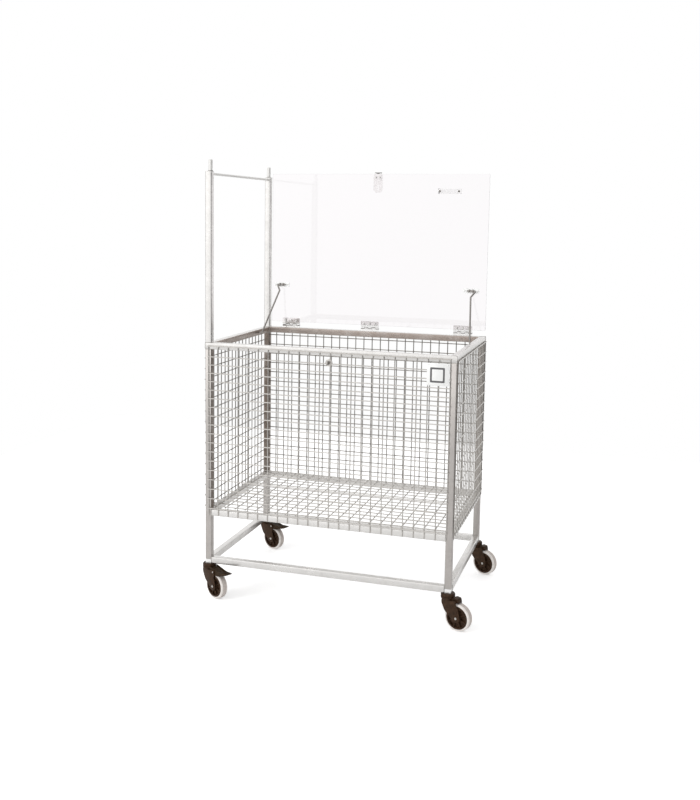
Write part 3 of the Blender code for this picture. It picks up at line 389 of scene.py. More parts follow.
def post_tube():
    """The same tube as a darker copy with painted shade, deepening from half way up downwards, and painted
    light towards the ring. The lowest 15 mm of each post are near white."""
    made = galvanised_tube("dulled galvanised steel tube", "#c0bbb7", "#d1ccc8", (0.36, 0.28))
    tree = made.node_tree
    base = tree.nodes["Principled BSDF"].inputs["Base Color"]
    place = add(tree, "TexCoord")["Object"]
    height = add(tree, "SeparateXYZ", {0: place})["Z"]
    # A near-white band round the foot of each post
    edge = calc(tree, "MULTIPLY_ADD", noise(tree, place, 0.006, 2), 0.004, POST_FOOT + 0.013)
    white_foot = calc(tree, "LESS_THAN", height, edge)
    # Painted shade and painted light: the colour is scaled down lower on the post and up towards the ring
    wear_and_shade = ranged(tree, height, (0.60, 0.97), (0.83, 1.32), interpolation_type="SMOOTHSTEP")
    shaded = add(tree, "VectorMath", {0: base.links[0].from_socket, "Scale": wear_and_shade}, operation="SCALE")
    tree.links.new(blend(tree, white_foot, shaded["Vector"], linear("#fdfdfc")), base)
    return made


def soft_zinc():
    """Turned bar, zinc plated and gone matt. A soft even pale grey, with turning marks 0.5 mm apart."""
    made, tree, shader = start_finish("matt zinc plated bar", Metallic=0.35)
    place = add(tree, "TexCoord")["Object"]
    marks = add(tree, "Mapping", {"Vector": place, "Scale": (0.1, 0.1, 1)})["Vector"]
    finish_surface(tree, shader, noise(tree, place, 0.006, 4), "#e2e0dd", "#f4f3f1", (0.60, 0.48),
                   noise(tree, marks, 0.0005, 2), 0.00002)
    return made


def hinge_zinc(name, seam, reach):
    """Bright zinc plated strip. It reads white, with a dark line of painted shade in the crease beside its
    knuckles, which reaches that far above and below the height of seam."""
    made, tree, shader = start_finish(name, Metallic=0.90)
    place = add(tree, "TexCoord")["Object"]
    rolled = noise(tree, place, 0.0015, 4)
    off = calc(tree, "SUBTRACT", add(tree, "SeparateXYZ", {0: place})["Z"], seam)
    unshaded = ranged(tree, calc(tree, "ABSOLUTE", off), (0.7 * reach, reach))
    steel = blend(tree, rolled, linear("#f6f5f3"), linear("#ffffff"))
    relief = add(tree, "Bump", {"Height": rolled, "Strength": 0.15, "Distance": 0.00001})["Normal"]
    connect(tree, shader, Base_Color=blend(tree, unshaded, linear("#4f4843"), steel),
            Roughness=ranged(tree, unshaded, gives=(0.55, 0.12)), Normal=relief)
    return made


def black_moulding(name, dark, light):
    """Glass filled nylon, moulded black. The eye sees a brown black, matt from a 0.8 mm spark grain that
    scuffs paler in soft patches."""
    made, tree, shader = start_finish(name, Specular_IOR_Level=0.25, Specular_Tint=linear("#ffeedd"))
    place = add(tree, "TexCoord")["Object"]
    wear_and_shade = ranged(tree, noise(tree, place, 0.009, 6, 0.7), (0.42, 0.80))
    grain = add(tree, "TexVoronoi", {"Vector": place, "Scale": 1 / 0.0008})["Distance"]
    finish_surface(tree, shader, wear_and_shade, dark, light, (0.42, 0.62), grain, 0.00006)
    return made


def clear_sheet():
    """Cast acrylic sheet. Clear with a breath of pink grey, polished, with wipe marks 30 mm long in its
    gloss."""
    made, tree, shader = start_finish("clear cast acrylic", Transmission_Weight=1.0, IOR=1.49,
                                      Base_Color=linear("#fcfafb"))
    place = add(tree, "TexCoord")["Object"]
    wiped = add(tree, "Mapping", {"Vector": place, "Scale": (1, 1, 0.25)})["Vector"]
    connect(tree, shader, Roughness=ranged(tree, noise(tree, wiped, 0.030, 5, 0.7), (0.5, 0.8), (0, 0.03)))
    return made


# The second colour given here is painted shade on the faces inside the basket
TUBE_STEEL = shade_inside(galvanised_tube("galvanised steel tube", "#dad8d5", "#e8e6e4", (0.33, 0.25)),
                        "#ab9f97", "MULTIPLY")
POST_STEEL = shade_inside(post_tube(), "#83776e", "MAXIMUM")

# Weld bead under zinc paint. Rough ripples, greyer and duller than the tube beside it
WELDS = hazed("zinc painted weld", (0.004, 4), (0.0010, 3), "#a9a6a2", "#d6d3cf", (0.55, 0.34), 0.0002,
              Metallic=0.85)
# Weld bead left as it was laid. Brown grey and darker than the other welds: painted shadow, the dark line at
# the foot of each pin
DARK_WELD = hazed("dark weld, painted shadow", (0.003, 4), (0.0010, 3), "#4d4742", "#837d77", (0.60, 0.42), 0.0002,
                  Metallic=0.6)

# Drawn steel wire, zinc plated after welding, with faint cloudy patches 15 mm long. Pale on the front,
# right and floor panels, and a darker copy with painted shade on the rear and left ones
PALE_WIRE, SHADED_WIRE = [
    hazed(name, (0.015, 4), (0.0008, 2), dark, light, (0.36, 0.22), 0.00002, Metallic=0.92)
    for name, dark, light in (("zinc plated wire", "#b9b5b1", "#d2cfca"),
                              ("dulled zinc plated wire", "#8d8984", "#a8a49f"))]

# Pressed steel fittings, zinc plated. A warm pale grey with a slight haze of 4 mm patches
FITTING = hazed("zinc plated pressing", (0.004, 5), (0.0006, 2), "#c2beb9", "#dedbd6", (0.40, 0.24), 0.00002,
                Metallic=0.92)
# Bright zinc plated strip, rolled and polished. It mirrors a white room, so it reads nearly white, with
# fine rolling lines along the strip
BRIGHT = hazed("bright zinc plated strip", (0.0015, 4), (0.0015, 4), "#efeeeb", "#f9f8f6", (0.30, 0.18),
               0.00001, (1, 1, 0.12), Metallic=0.92)
MATT_ZINC = soft_zinc()
# Painted shade: a dark line in the crease below the fixed leaves' knuckles, above the lid leaves' knuckles
# and at the hasp's knuckle
FIXED_STRIP = hinge_zinc("bright zinc strip, painted shade below its knuckles", HINGE.z - HINGE_SEAM, 0.0015)
LID_STRIP = hinge_zinc("bright zinc strip, painted shade above its knuckles", HINGE.z + HINGE_SEAM, 0.0015)
HASP_STRIP = hinge_zinc("bright zinc strip, painted shade at its knuckle", HASP.z + 0.0010, 0.0019)
# Plain drawn steel rod, oiled. Darker than the plated parts, with draw lines along it
ROD = hazed("oiled steel rod", (0.006, 5), (0.0008, 2), "#96918d", "#b5b1ac", (0.45, 0.28), 0.00003,
            (1, 1, 0.2), Metallic=0.9)
# Anodised aluminium plate, brushed along its width. Almost white satin, with brush lines 0.4 mm apart
ALUMINIUM = hazed("satin anodised aluminium", (0.0004, 3), (0.0004, 3), "#f0f0ef", "#fafaf9", (0.40, 0.28),
                  0.00001, (0.03, 1, 1), Metallic=0.75)
# Baked enamel line on the plate. Dark grey, glossy, with a slight orange peel of 1.5 mm
ENAMEL = hazed("dark grey enamel", (0.0015, 2), (0.0015, 2), "#575657", "#676667", (0.42, 0.32), 0.00002)

ACRYLIC = clear_sheet()
# White nylon, moulded. A clean soft white with a fine satin grain of 0.7 mm
WHITE = hazed("white nylon", (0.012, 4), (0.0007, 2), "#fbfbfa", "#ffffff", (0.46, 0.34), 0.00003)
# Natural nylon, moulded without pigment. Milky and half clear, so the white room glows through it, with
# a satin skin
MILKY = hazed("natural milky nylon", (0.012, 4), (0.0007, 2), "#fbfbfa", "#ffffff", (0.34, 0.24), 0.00002,
              Transmission_Weight=0.92, IOR=1.25)
BLACK = black_moulding("black glass filled nylon", "#2b1c11", "#4f3828")
# A darker copy of the same black for the brake lever: painted shade on its top
SHADED_LEVER_BLACK = black_moulding("black glass filled nylon, painted shade", "#231606", "#42301d")
# Non-marking grey rubber. Pale and dry, with scuffs along the rim and a 1 mm moulded grain. The band that
# rolls is a darker copy, painted shade on the tread
RUBBER, SHADED_TREAD_RUBBER = [
    hazed(name, (0.010, 6, 0.68), (0.0010, 3), dark, light, (0.80, 0.60), 0.0001, span=(0.32, 0.66),
          Sheen_Weight=0.15)
    for name, dark, light in (("pale grey rubber", "#dfd8d3", "#f3eeea"),
                              ("grey rubber, painted shade on the tread", "#b9afa9", "#cdc4be"))]


def piece(name, shape, finish, body, stands_for=(), sharp=38):
    """Make a shape a piece that rides on a body and stands for CAD nodes."""
    mesh = mesh_of(name, shape)
    mesh.shade_smooth()
    mesh.set_sharp_from_angle(angle=radians(sharp))
    mesh.materials.append(finish)
    obj = new_object(name, mesh)
    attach(obj, body)
    if stands_for:
        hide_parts(*stands_for)
    return obj


# Tube frame

# The corners of the ring, each with its ways inward along X and Y
RING_CORNERS = [(LEFT, FRONT, 1, 1), (RIGHT, FRONT, -1, 1), (RIGHT, REAR, -1, -1), (LEFT, REAR, 1, -1)]


def square_tube(node, mitred):
    """A rolled tube with rounded corners and open ends, in the node's place."""
    low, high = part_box(node)
    size, centre = high - low, (low + high) / 2
    along = max(range(3), key=lambda axis: size[axis])
    part = bmesh.new()
    bmesh.ops.create_cube(part, size=1, matrix=Matrix.LocRotScale(centre, None, size))
    soften(part, [edge for edge in part.edges if abs((edge.verts[0].co - edge.verts[1].co)[along]) > TUBE],
           TUBE_CORNER, 4)
    bmesh.ops.delete(part, geom=[face for face in part.faces if abs(face.normal[along]) > 0.9],
                     context="FACES_ONLY")
    ends = [corner for corner in RING_CORNERS if abs(corner[0] - centre.x) < size.x / 2 + WELD
            and abs(corner[1] - centre.y) < size.y / 2 + WELD]
    for x, y, to_right, to_rear in ends if mitred else ():
        corner = Vector((x, y, centre.z))
        across = Vector((-to_rear, to_right, 0))
        if across.dot(centre - corner) > 0:
            across.negate()
        bmesh.ops.bisect_plane(part, geom=part.verts[:] + part.edges[:] + part.faces[:], plane_co=corner,
                               plane_no=across, clear_outer=True)
    bmesh.ops.recalc_face_normals(part, faces=part.faces)
    bmesh.ops.solidify(part, geom=part.faces[:], thickness=TUBE_WALL)
    return part


def circle(place, radius, count):
    """Points on a circle in the XY plane of place."""
    turns = [2 * pi * i / count for i in range(count)]
    return [place @ Vector((radius * cos(turn), radius * sin(turn), 0)) for turn in turns]


def around_tube(centre, normal, half=TUBE / 2):
    """The path round a square tube, in the plane through centre with that normal."""
    turn = at(*centre) @ aimed(normal)
    straight = half - TUBE_CORNER
    path = []
    for x, y, start in ((1, 1, 0), (-1, 1, 90), (-1, -1, 180), (1, -1, 270)):
        for angle in (radians(start), radians(start + 45), radians(start + 90)):
            path.append(turn @ Vector((x * straight + TUBE_CORNER * cos(angle),
                                       y * straight + TUBE_CORNER * sin(angle), 0)))
    return path


def weld(shape, corners, radius, seed):
    """A lumpy bead along a closed path, laid in drops."""
    path = []
    for start, end in zip(corners, corners[1:] + corners[:1]):
        drops = max(1, round((end - start).length / DROP))
        path += [start.lerp(end, drop / drops) for drop in range(drops)]
    chance = random.Random(seed)
    lumps = [1 + 0.16 * sin(1.9 * i) + chance.uniform(-0.09, 0.09) for i in range(len(path))]
    rod(shape, path, radius, 6, closed=True, girth=lambda i: lumps[i])


def dress_tube(name, node, steel, mitred=False):
    piece(f"{name}_tube", square_tube(node, mitred), steel, "frame", [node])


def dress_frame():
    for side in SIDES:
        dress_tube(f"{side}_ring", f"ring_rail_{side}", TUBE_STEEL, mitred=True)
        for level in LOWER_RAILS:
            dress_tube(f"{side}_{level}", f"{level}_{side}", TUBE_STEEL)
    for corner in CASTERS:
        dress_tube(f"{corner}_post", f"post_{corner}", POST_STEEL)
    for end in ("front", "rear"):
        dress_tube(f"{end}_upright", f"upright_{end}", TUBE_STEEL)
        dress_upright_top(end)
    dress_tie_rod()
    dress_welds()


def dress_upright_top(end):
    """A flat cap welded into the tube, and the round pin that stands on it."""
    upright = middle(f"upright_{end}")
    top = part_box(f"upright_{end}")[1].z
    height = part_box(f"spigot_cap_{end}")[1].z - top - CAP
    cap = bmesh.new()
    half = TUBE / 2
    block(cap, (-half, -half, 0), (half, half, CAP), 0.0006, at(upright.x, upright.y, top))
    # The front pin stands a little to the right of its tube's middle
    off = 0.004 if end == "front" else 0.0
    pin = at(upright.x + off, upright.y, top + CAP)
    turned(cap, [(0, -0.0005), (SPIGOT, -0.0005), (SPIGOT, height - 0.0026),
                 (SPIGOT - 0.0006, height - 0.0010), (SPIGOT - 0.0018, height), (0, height)], pin, 36)
    piece(f"{end}_spigot", cap, MATT_ZINC, "frame", [f"spigot_cap_{end}"])
    # Its dark bead is painted shadow at the foot of the pin
    collar = bmesh.new()
    weld(collar, circle(pin @ at(0, 0, 0.0004), SPIGOT + GAP, 20), 0.0015, 90)
    piece(f"{end}_spigot_weld", collar, DARK_WELD, "frame")


def dress_tie_rod():
    low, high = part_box("tie_rod")
    centre, radius = (low + high) / 2, (high.z - low.z) / 2
    bar = bmesh.new()
    ends = [Vector((centre.x, low.y - GAP, centre.z)), Vector((centre.x, high.y + GAP, centre.z))]
    rod(bar, [ends[0].lerp(ends[1], i / 8) for i in range(9)], radius, 20)
    for end in ends:
        weld(bar, circle(at(*end) @ UPRIGHT, radius + 0.0002, 16), 0.0012, 70)
    piece("tie_rod_bar", bar, MATT_ZINC, "frame", ["tie_rod"])


def dress_welds():
    """Beads where the tubes meet."""
    beads = bmesh.new()
    for number, (x, y, to_right, to_rear) in enumerate(RING_CORNERS):
        inward = Vector((to_right * TUBE, to_rear * TUBE, 0))
        outer, drop = Vector((x, y, RING_TOP)), Vector((0, 0, -TUBE))
        weld(beads, around_tube(outer + inward / 2 + drop, (0, 0, 1)), WELD, number)
        inset, rise = inward * 0.07, Vector((0, 0, 0.0020))
        loop = [outer + inset, outer + inward - inset, outer + inward - rise, outer + inward + drop + rise,
                outer + inward - inset + drop, outer + inset + drop, outer + drop + rise, outer - rise]
        weld(beads, loop, 0.0009, 20 + number)
    for node in [f"{level}_{side}" for level in LOWER_RAILS for side in SIDES]:
        low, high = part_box(node)
        centre = (low + high) / 2
        along = Vector((1, 0, 0)) if high.x - low.x > high.y - low.y else Vector((0, 1, 0))
        reach = max(high.x - low.x, high.y - low.y) / 2
        for end in (-1, 1):
            weld(beads, around_tube(centre + along * reach * end, along), WELD, 40 + len(node) + end)
    for end in ("front", "rear"):
        low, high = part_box(f"upright_{end}")
        centre = (low + high) / 2
        weld(beads, around_tube((centre.x, centre.y, low.z), (0, 0, 1)), WELD, 80)
        weld(beads, around_tube((centre.x, centre.y, high.z), (0, 0, 1), TUBE / 2 - 0.0004), 0.0006, 81)
    piece("frame_welds", beads, WELDS, "frame")


# Wire mesh

def wire(shape, start, end, seed):
    """A straight wire that is a hair out of true, as welded mesh is."""
    chance = random.Random(seed)
    span = end - start
    side = span.orthogonal().normalized()
    up = span.cross(side).normalized()
    bow, twist = chance.uniform(-0.0006, 0.0006), chance.uniform(0, 2 * pi)
    path = [start + span * i / 4 + (side * cos(twist) + up * 0.3 * sin(twist)) * bow * sin(pi * i / 4)
            for i in range(5)]
    rod(shape, path, WIRE, 8)


def welded_mesh(side, place, uprights, rows, height, width, seed, finish):
    """Two layers on the XY plane of place, +Z outward: the rows lie on the uprights, melted in a little."""
    panel = bmesh.new()
    for number, x in enumerate(uprights):
        wire(panel, place @ Vector((x, height[0], WIRE)), place @ Vector((x, height[1], WIRE)), seed + number)
    outer = 3 * WIRE - MESH_LAP
    for number, y in enumerate(rows):
        wire(panel, place @ Vector((width[0], y, outer)), place @ Vector((width[1], y, outer)),
             seed + 100 + number)
    piece(f"{side}_wires", panel, finish, "frame", [f"mesh_{side}"])


def evenly(margin, length, count):
    """Places from one margin to the other."""
    return [margin + (length - 2 * margin) * i / (count - 1) for i in range(count)]


def side_face(x, y, turn):
    """The plane of one side: X runs along it, Y is up from the floor and Z points outward."""
    return at(x, y, 0) @ Matrix.Rotation(turn, 4, "Z") @ UPRIGHT


def dress_basket():
    width, depth = RIGHT - LEFT, REAR - FRONT
    top = RING_TOP - TUBE / 2
    rows = [RING_TOP - FRONT_ROW - FRONT_ROW_PITCH * k - FRONT_ROW_GROWTH * k * k for k in range(18)]
    welded_mesh("front", side_face(LEFT, FRONT, 0), [0.0147 + FRONT_PITCH * i for i in range(24)],
                [top, *rows], (BASKET_TOP - 0.023, top + WIRE), (0.012, width - 0.0195), 1000, PALE_WIRE)
    margin, cut = 0.0125, 0.0105
    ends = (BASKET_TOP - 0.0145, RING_TOP - 0.018)
    side_rows, rear_rows = [[RING_TOP - first - ROW_PITCH * k for k in range(16)]
                            for first in (0.020, 0.0383)]
    for side, face, seed, finish in (("left", side_face(LEFT, REAR, -pi / 2), 2000, SHADED_WIRE),
                                     ("right", side_face(RIGHT, FRONT, pi / 2), 3000, PALE_WIRE)):
        welded_mesh(side, face, evenly(margin, depth, 18), side_rows, ends, (cut, depth - cut), seed, finish)
    welded_mesh("rear", side_face(RIGHT, REAR, pi), evenly(margin, width, 27), rear_rows, ends,
                (cut, width - cut), 4000, SHADED_WIRE)
    margin = 0.030
    welded_mesh("floor", at(LEFT, FRONT, BASKET_TOP), evenly(margin, width, 23), evenly(margin, depth, 15),
                (0.0275, depth - 0.0275), (0.006, width - 0.006), 5000, PALE_WIRE)


# Name plate and lock

def dress_plate():
    low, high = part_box("name_plate")
    centre = (low + high) / 2
    half = (high.x - low.x) / 2
    face = at(centre.x, high.y, centre.z) @ UPRIGHT
    sheet = bmesh.new()
    plate(sheet, rounded_box_loop(half, half, 0.004), 0.0013, face, segments=2)
    piece("blank_plate", sheet, ALUMINIUM, "frame", ["name_plate"])
    border = bmesh.new()
    plate(border, rounded_box_loop(0.0262, 0.0268, 0.003), 0.0002, face @ at(-0.002, -0.002, 0.0012),
          cutouts=[rounded_box_loop(0.0195, 0.0201, 0.002)], edge=0.00005)
    piece("blank_plate_border", border, ENAMEL, "frame")
    rivets = bmesh.new()
    for x, z in QUARTERS:
        turned(rivets, [(0, 0.0010), (0.0024, 0.0010), (0.0023, 0.0016), (0.0015, 0.0021), (0, 0.0023)],
               face @ at(x * 0.034, z * 0.034, 0), 18)
    piece("blank_plate_rivets", rivets, BRIGHT, "frame")


def dress_lock():
    centre = middle("lock_base")
    face = at(centre.x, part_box("lock_base")[1].y, centre.z) @ UPRIGHT
    rose = bmesh.new()
    turned(rose, [(0.0028, 0.0045), (0.0028, 0.0020), (0.0053, 0.0020), (0.0053, 0.0), (0.0130, 0.0),
                  (0.0130, 0.0026), (0.0127, 0.0036), (0.0116, 0.0043), (0.0104, 0.0045), (0.0098, 0.0039),
                  (0.0066, 0.0039), (0.0060, 0.0045)], face, 48, ring=True)
    piece("lock_rose", rose, FITTING, "frame", ["lock_base"])
    staple = bmesh.new()
    turned(staple, [(0, 0.0003), (0.0050, 0.0003), (0.0050, 0.0017), (0.0025, 0.0017), (0.0025, 0.0105),
                    (0, 0.0105)], face, 28)
    edgewise = at(0.00175, 0, 0) @ Matrix.Rotation(-pi / 2, 4, "Y")
    eye = [(0.0089, -0.0070, 0.001), (0.0230, -0.0070, 0.0065), (0.0230, 0.0070, 0.0065),
           (0.0089, 0.0070, 0.001)]
    plate(staple, eye, 0.0035, face @ edgewise, holes=[(0.0160, 0, 0.0032)], edge=0.0005, segments=2)
    piece("staple_eye", staple, ROD, "lock_staple", ["lock_staple"])


# Lid, hinges, handle, hasp and stays

def lid_holes():
    """(x, z, radius) of the holes for the fittings."""
    spots = [(middle(f"hinge_{side}_pin").x + x, HINGE.z + SCREW_REACH, SCREW_HOLE)
             for side in ("left", "middle", "right") for x in (-SCREW_SPREAD, 0, SCREW_SPREAD)]
    spots += [(HANDLE.x + x, HANDLE.z, 0.0028) for x in (-HANDLE_BOLT, HANDLE_BOLT)]
    spots += [(HASP.x + x, HASP.z - SCREW_REACH, SCREW_HOLE) for x in (-HASP_BOLT, HASP_BOLT)]
    for side in ("left", "right"):
        saddle = middle(f"stay_saddle_{side}")
        spots += [(saddle.x + x, saddle.z, SCREW_HOLE) for x in (-SADDLE_BOLT, SADDLE_BOLT)]
    return spots


def dress_lid():
    sheet = bmesh.new()
    outline = [(x, z, 0.003) for x, z in ((LID_LOW.x, LID_LOW.z), (LID_HIGH.x, LID_LOW.z),
                                          (LID_HIGH.x, LID_HIGH.z), (LID_LOW.x, LID_HIGH.z))]
    plate(sheet, outline, LID_HIGH.y - LID_LOW.y, at(0, LID_HIGH.y, 0) @ UPRIGHT, holes=lid_holes())
    piece("clear_lid", sheet, ACRYLIC, "lid", ["lid"], sharp=25)
    for side in ("left", "middle", "right"):
        dress_hinge(side)
    dress_handle()
    dress_hasp()
    for side, mirror in (("left", 1), ("right", -1)):
        dress_stay(side, mirror)


def on_lid_front(x, z):
    """The plane at (x, z) on the face of the sheet that looks to the front while the lid is open."""
    return at(x, LID_LOW.y, z) @ aimed((0, -1, 0))


def knuckle_leaf(spans, half, tab, clear, reach, up):
    """The outline of a leaf that reaches up (1) or down (-1) from its knuckles."""
    outline = [(-half, up * reach, 0.003), (-half, up * clear)]
    for start, end in spans:
        outline += [(start, up * clear), (start, up * tab), (end, up * tab), (end, up * clear)]
    return outline + [(half, up * clear), (half, up * reach, 0.003)]


def barrel_ring(shape, start, end, place, bore=0.0021):
    turned(shape, [(bore, start), (BARREL - 0.0004, start), (BARREL, start + 0.0004), (BARREL, end - 0.0004),
                   (BARREL - 0.0004, end), (bore, end)], place, 28, ring=True)


def dress_hinge(side):
    axis = at(*middle(f"hinge_{side}_pin"))
    along = axis @ LYING
    half, pitch = HINGE_LENGTH / 2, HINGE_LENGTH / KNUCKLES
    face = axis @ at(0, -BARREL + GAP + LEAF, 0) @ UPRIGHT
    for part, up, reach, body, finish in (("fixed", -1, 0.0245, "frame", FIXED_STRIP),
                                          ("lid", 1, 0.0285, "lid", LID_STRIP)):
        numbers = range(0, KNUCKLES, 2) if up < 0 else range(1, KNUCKLES, 2)
        spans = [(-half + n * pitch + GAP, -half + (n + 1) * pitch - GAP) for n in numbers]
        leaf = bmesh.new()
        plate(leaf, knuckle_leaf(spans, half, 0.0004, BARREL + GAP, reach, up), LEAF, face)
        for start, end in spans:
            barrel_ring(leaf, start, end, along)
        piece(f"{side}_hinge_{part}_plate", leaf, finish, body, [f"hinge_{side}_{part}_leaf"])
        heads = bmesh.new()
        for x in (-SCREW_SPREAD, 0, SCREW_SPREAD):
            outside = axis @ at(x, -BARREL + GAP + LEAF - 0.0001, up * SCREW_REACH) @ aimed((0, 1, 0))
            screw_head(heads, outside, 0.0036, 0.0016)
            if up > 0:
                screw_head(heads, axis @ at(x, -BARREL - 0.005, SCREW_REACH) @ aimed((0, -1, 0)), *LID_BOLT)
        piece(f"{side}_hinge_{part}_screws", heads, MATT_ZINC, body)
    pin = bmesh.new()
    turned(pin, [(0, -half + GAP), (0.0014, -half + 0.0004), (0.0018, -half + 0.0009),
                 (0.0018, half - 0.0009), (0.0014, half - 0.0004), (0, half - GAP)], along, 20)
    piece(f"{side}_hinge_pin_rod", pin, FITTING, "frame", [f"hinge_{side}_pin"])


def dress_handle():
    """A moulded bow: two feet, two legs and a grip, all rounded off."""
    bow = bmesh.new()
    outer, inner = 0.047, 0.031
    outside = [(inner, 0.0003), (outer, 0.0003, 0.001), (outer, 0.0240, 0.006), (outer - 0.008, 0.032, 0.007)]
    inside = [(-inner, 0.0160, 0.005), (-inner + 0.004, 0.024, 0.004)]
    plate(bow, mirrored(outside) + mirrored(inside), 0.020, at(HANDLE.x, HANDLE.y, HANDLE.z - 0.010),
          edge=0.0026, segments=4)
    piece("handle_bow", bow, MILKY, "lid", ["lid_handle"], sharp=50)
    bolts = bmesh.new()
    for x in (-HANDLE_BOLT, HANDLE_BOLT):
        screw_head(bolts, on_lid_front(HANDLE.x + x, HANDLE.z), 0.0046, 0.0034, 0.0052)
    piece("handle_bolts", bolts, ROD, "lid")


def dress_hasp():
    axis = at(*HASP)
    along = axis @ LYING
    leaf = bmesh.new()
    half, tab, foot, step = 0.0143, 0.0066, 0.031, 0.0038
    outline = mirrored([(-half, -foot, 0.003), (-half, 0), (-tab, 0), (-tab, -step)])
    plate(leaf, outline, LEAF, axis @ at(0, LID_HIGH.y - HASP.y + GAP + LEAF, 0) @ UPRIGHT)
    for start, end in ((-half, -0.0063), (0.0063, half)):
        barrel_ring(leaf, start, end, along, 0.0016)
    turned(leaf, [(0, -0.0145), (0.0017, -0.0141), (0.0017, 0.0141), (0, 0.0145)], along, 18)
    piece("hasp_hinge_leaf", leaf, HASP_STRIP, "lid", ["hasp_leaf"])
    bolts = bmesh.new()
    for x in (-HASP_BOLT, HASP_BOLT):
        screw_head(bolts, on_lid_front(HASP.x + x, HASP.z - SCREW_REACH), *LID_BOLT)
    piece("hasp_bolts", bolts, MATT_ZINC, "lid")

    strap = bmesh.new()
    half, neck, end, shoulder, chamfer = 0.019, 0.0057, 0.080, 0.0048, 0.010
    outline = mirrored([(-neck, 0), (-neck, -shoulder), (-half, -shoulder, 0.003),
                        (-half, -end + chamfer, 0.004), (-half + chamfer, -end, 0.004)])
    slot = [(x * 0.003, -0.060 + y * 0.0115, 0.00295) for x, y in QUARTERS]
    plate(strap, outline, 0.002, axis @ at(0, 0.001, 0) @ UPRIGHT, cutouts=[slot], edge=0.0005, segments=2)
    barrel_ring(strap, -0.0060, 0.0060, along)
    piece("hasp_strap_plate", strap, HASP_STRIP, "hasp_strap", ["hasp_strap"])


def dress_stay(side, mirror):
    """A bent rod whose bar turns in two steel eyes on a white plate, and whose foot sits in the side rail."""
    saddle = middle(f"stay_saddle_{side}")
    low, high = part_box(f"stay_{side}")
    axis_y = LID_LOW.y - 0.008
    edge = LEFT if mirror > 0 else RIGHT
    foot = Vector((edge + mirror * (TUBE + GAP), low.y + STAY_ROD, RING_TOP - TUBE / 2))
    bend_x = saddle.x - mirror * SADDLE_FROM_BEND
    points = [Vector((high.x if mirror > 0 else low.x, axis_y, saddle.z)), Vector((bend_x, axis_y, saddle.z)),
              Vector((bend_x + mirror * 0.017, axis_y - 0.018, saddle.z - 0.024)),
              Vector((edge + mirror * 0.040, foot.y, foot.z)), foot]
    path = bent(points, 0.0045)
    last = len(path) - 1
    bar = bmesh.new()
    rod(bar, path, STAY_ROD, 16, girth=lambda i: 0.8 if i in (0, last) else 1)
    piece(f"{side}_stay_rod", bar, ROD, f"stay_{side}", [f"stay_{side}"])

    holder = bmesh.new()
    face = at(saddle.x, LID_LOW.y, saddle.z) @ UPRIGHT
    plate(holder, rounded_box_loop(0.033, 0.010, 0.004), 0.0030, face, edge=0.0008, segments=2)
    piece(f"{side}_stay_holder", holder, WHITE, "lid", [f"stay_saddle_{side}"])
    eyes = bmesh.new()
    along = at(saddle.x, axis_y, saddle.z) @ LYING
    for x in (-0.0075, 0.0075):
        turned(eyes, [(0.0038, x - 0.0026), (0.0056, x - 0.0026), (0.0062, x - 0.0020), (0.0062, x + 0.0020),
                      (0.0056, x + 0.0026), (0.0038, x + 0.0026)], along, 32, ring=True)
        block(eyes, (x - 0.0025, -0.0058, 0.0020), (x + 0.0025, 0.0058, 0.0040), 0.0005, face)
    piece(f"{side}_stay_eyes", eyes, ROD, "lid")
    bolts = bmesh.new()
    for x in (-SADDLE_BOLT, SADDLE_BOLT):
        screw_head(bolts, face @ at(x, 0, 0.0029), 0.0034, 0.0018, 0.0080)
        screw_head(bolts, at(saddle.x + x, LID_HIGH.y, saddle.z) @ aimed((0, 1, 0)), 0.0040, 0.0022)
    piece(f"{side}_stay_bolts", bolts, BRIGHT, "lid")


# Casters. X is the trail, Y the side and Z up, from the swivel axis on the floor

def dress_caster(corner):
    stem, wheel = middle(f"caster_{corner}_stem"), middle(f"caster_{corner}_wheel")
    heading = atan2(wheel.y - stem.y, wheel.x - stem.x)
    place = at(stem.x, stem.y, 0) @ Matrix.Rotation(heading, 4, "Z")
    axle = place @ at(TRAIL, 0, WHEEL)
    dress_fork(corner, place, axle)
    dress_wheel(corner, axle @ Matrix.Rotation(-pi / 2, 4, "X"))
    if corner in BRAKED:
        dress_pedal(corner, place)
    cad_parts[f"caster_{corner}_stem"].data.materials.clear()
    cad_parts[f"caster_{corner}_stem"].data.materials.append(FITTING)


def sideways(y):
    """The plane of a profile that lies in X and Z, with its thickness from y toward -Y."""
    return at(0, y, 0) @ UPRIGHT


def outward(place, x, y, z):
    """The plane at a place beside a fork, facing away from its middle."""
    return place @ at(x, y, z) @ aimed((0, 1 if y > 0 else -1, 0))


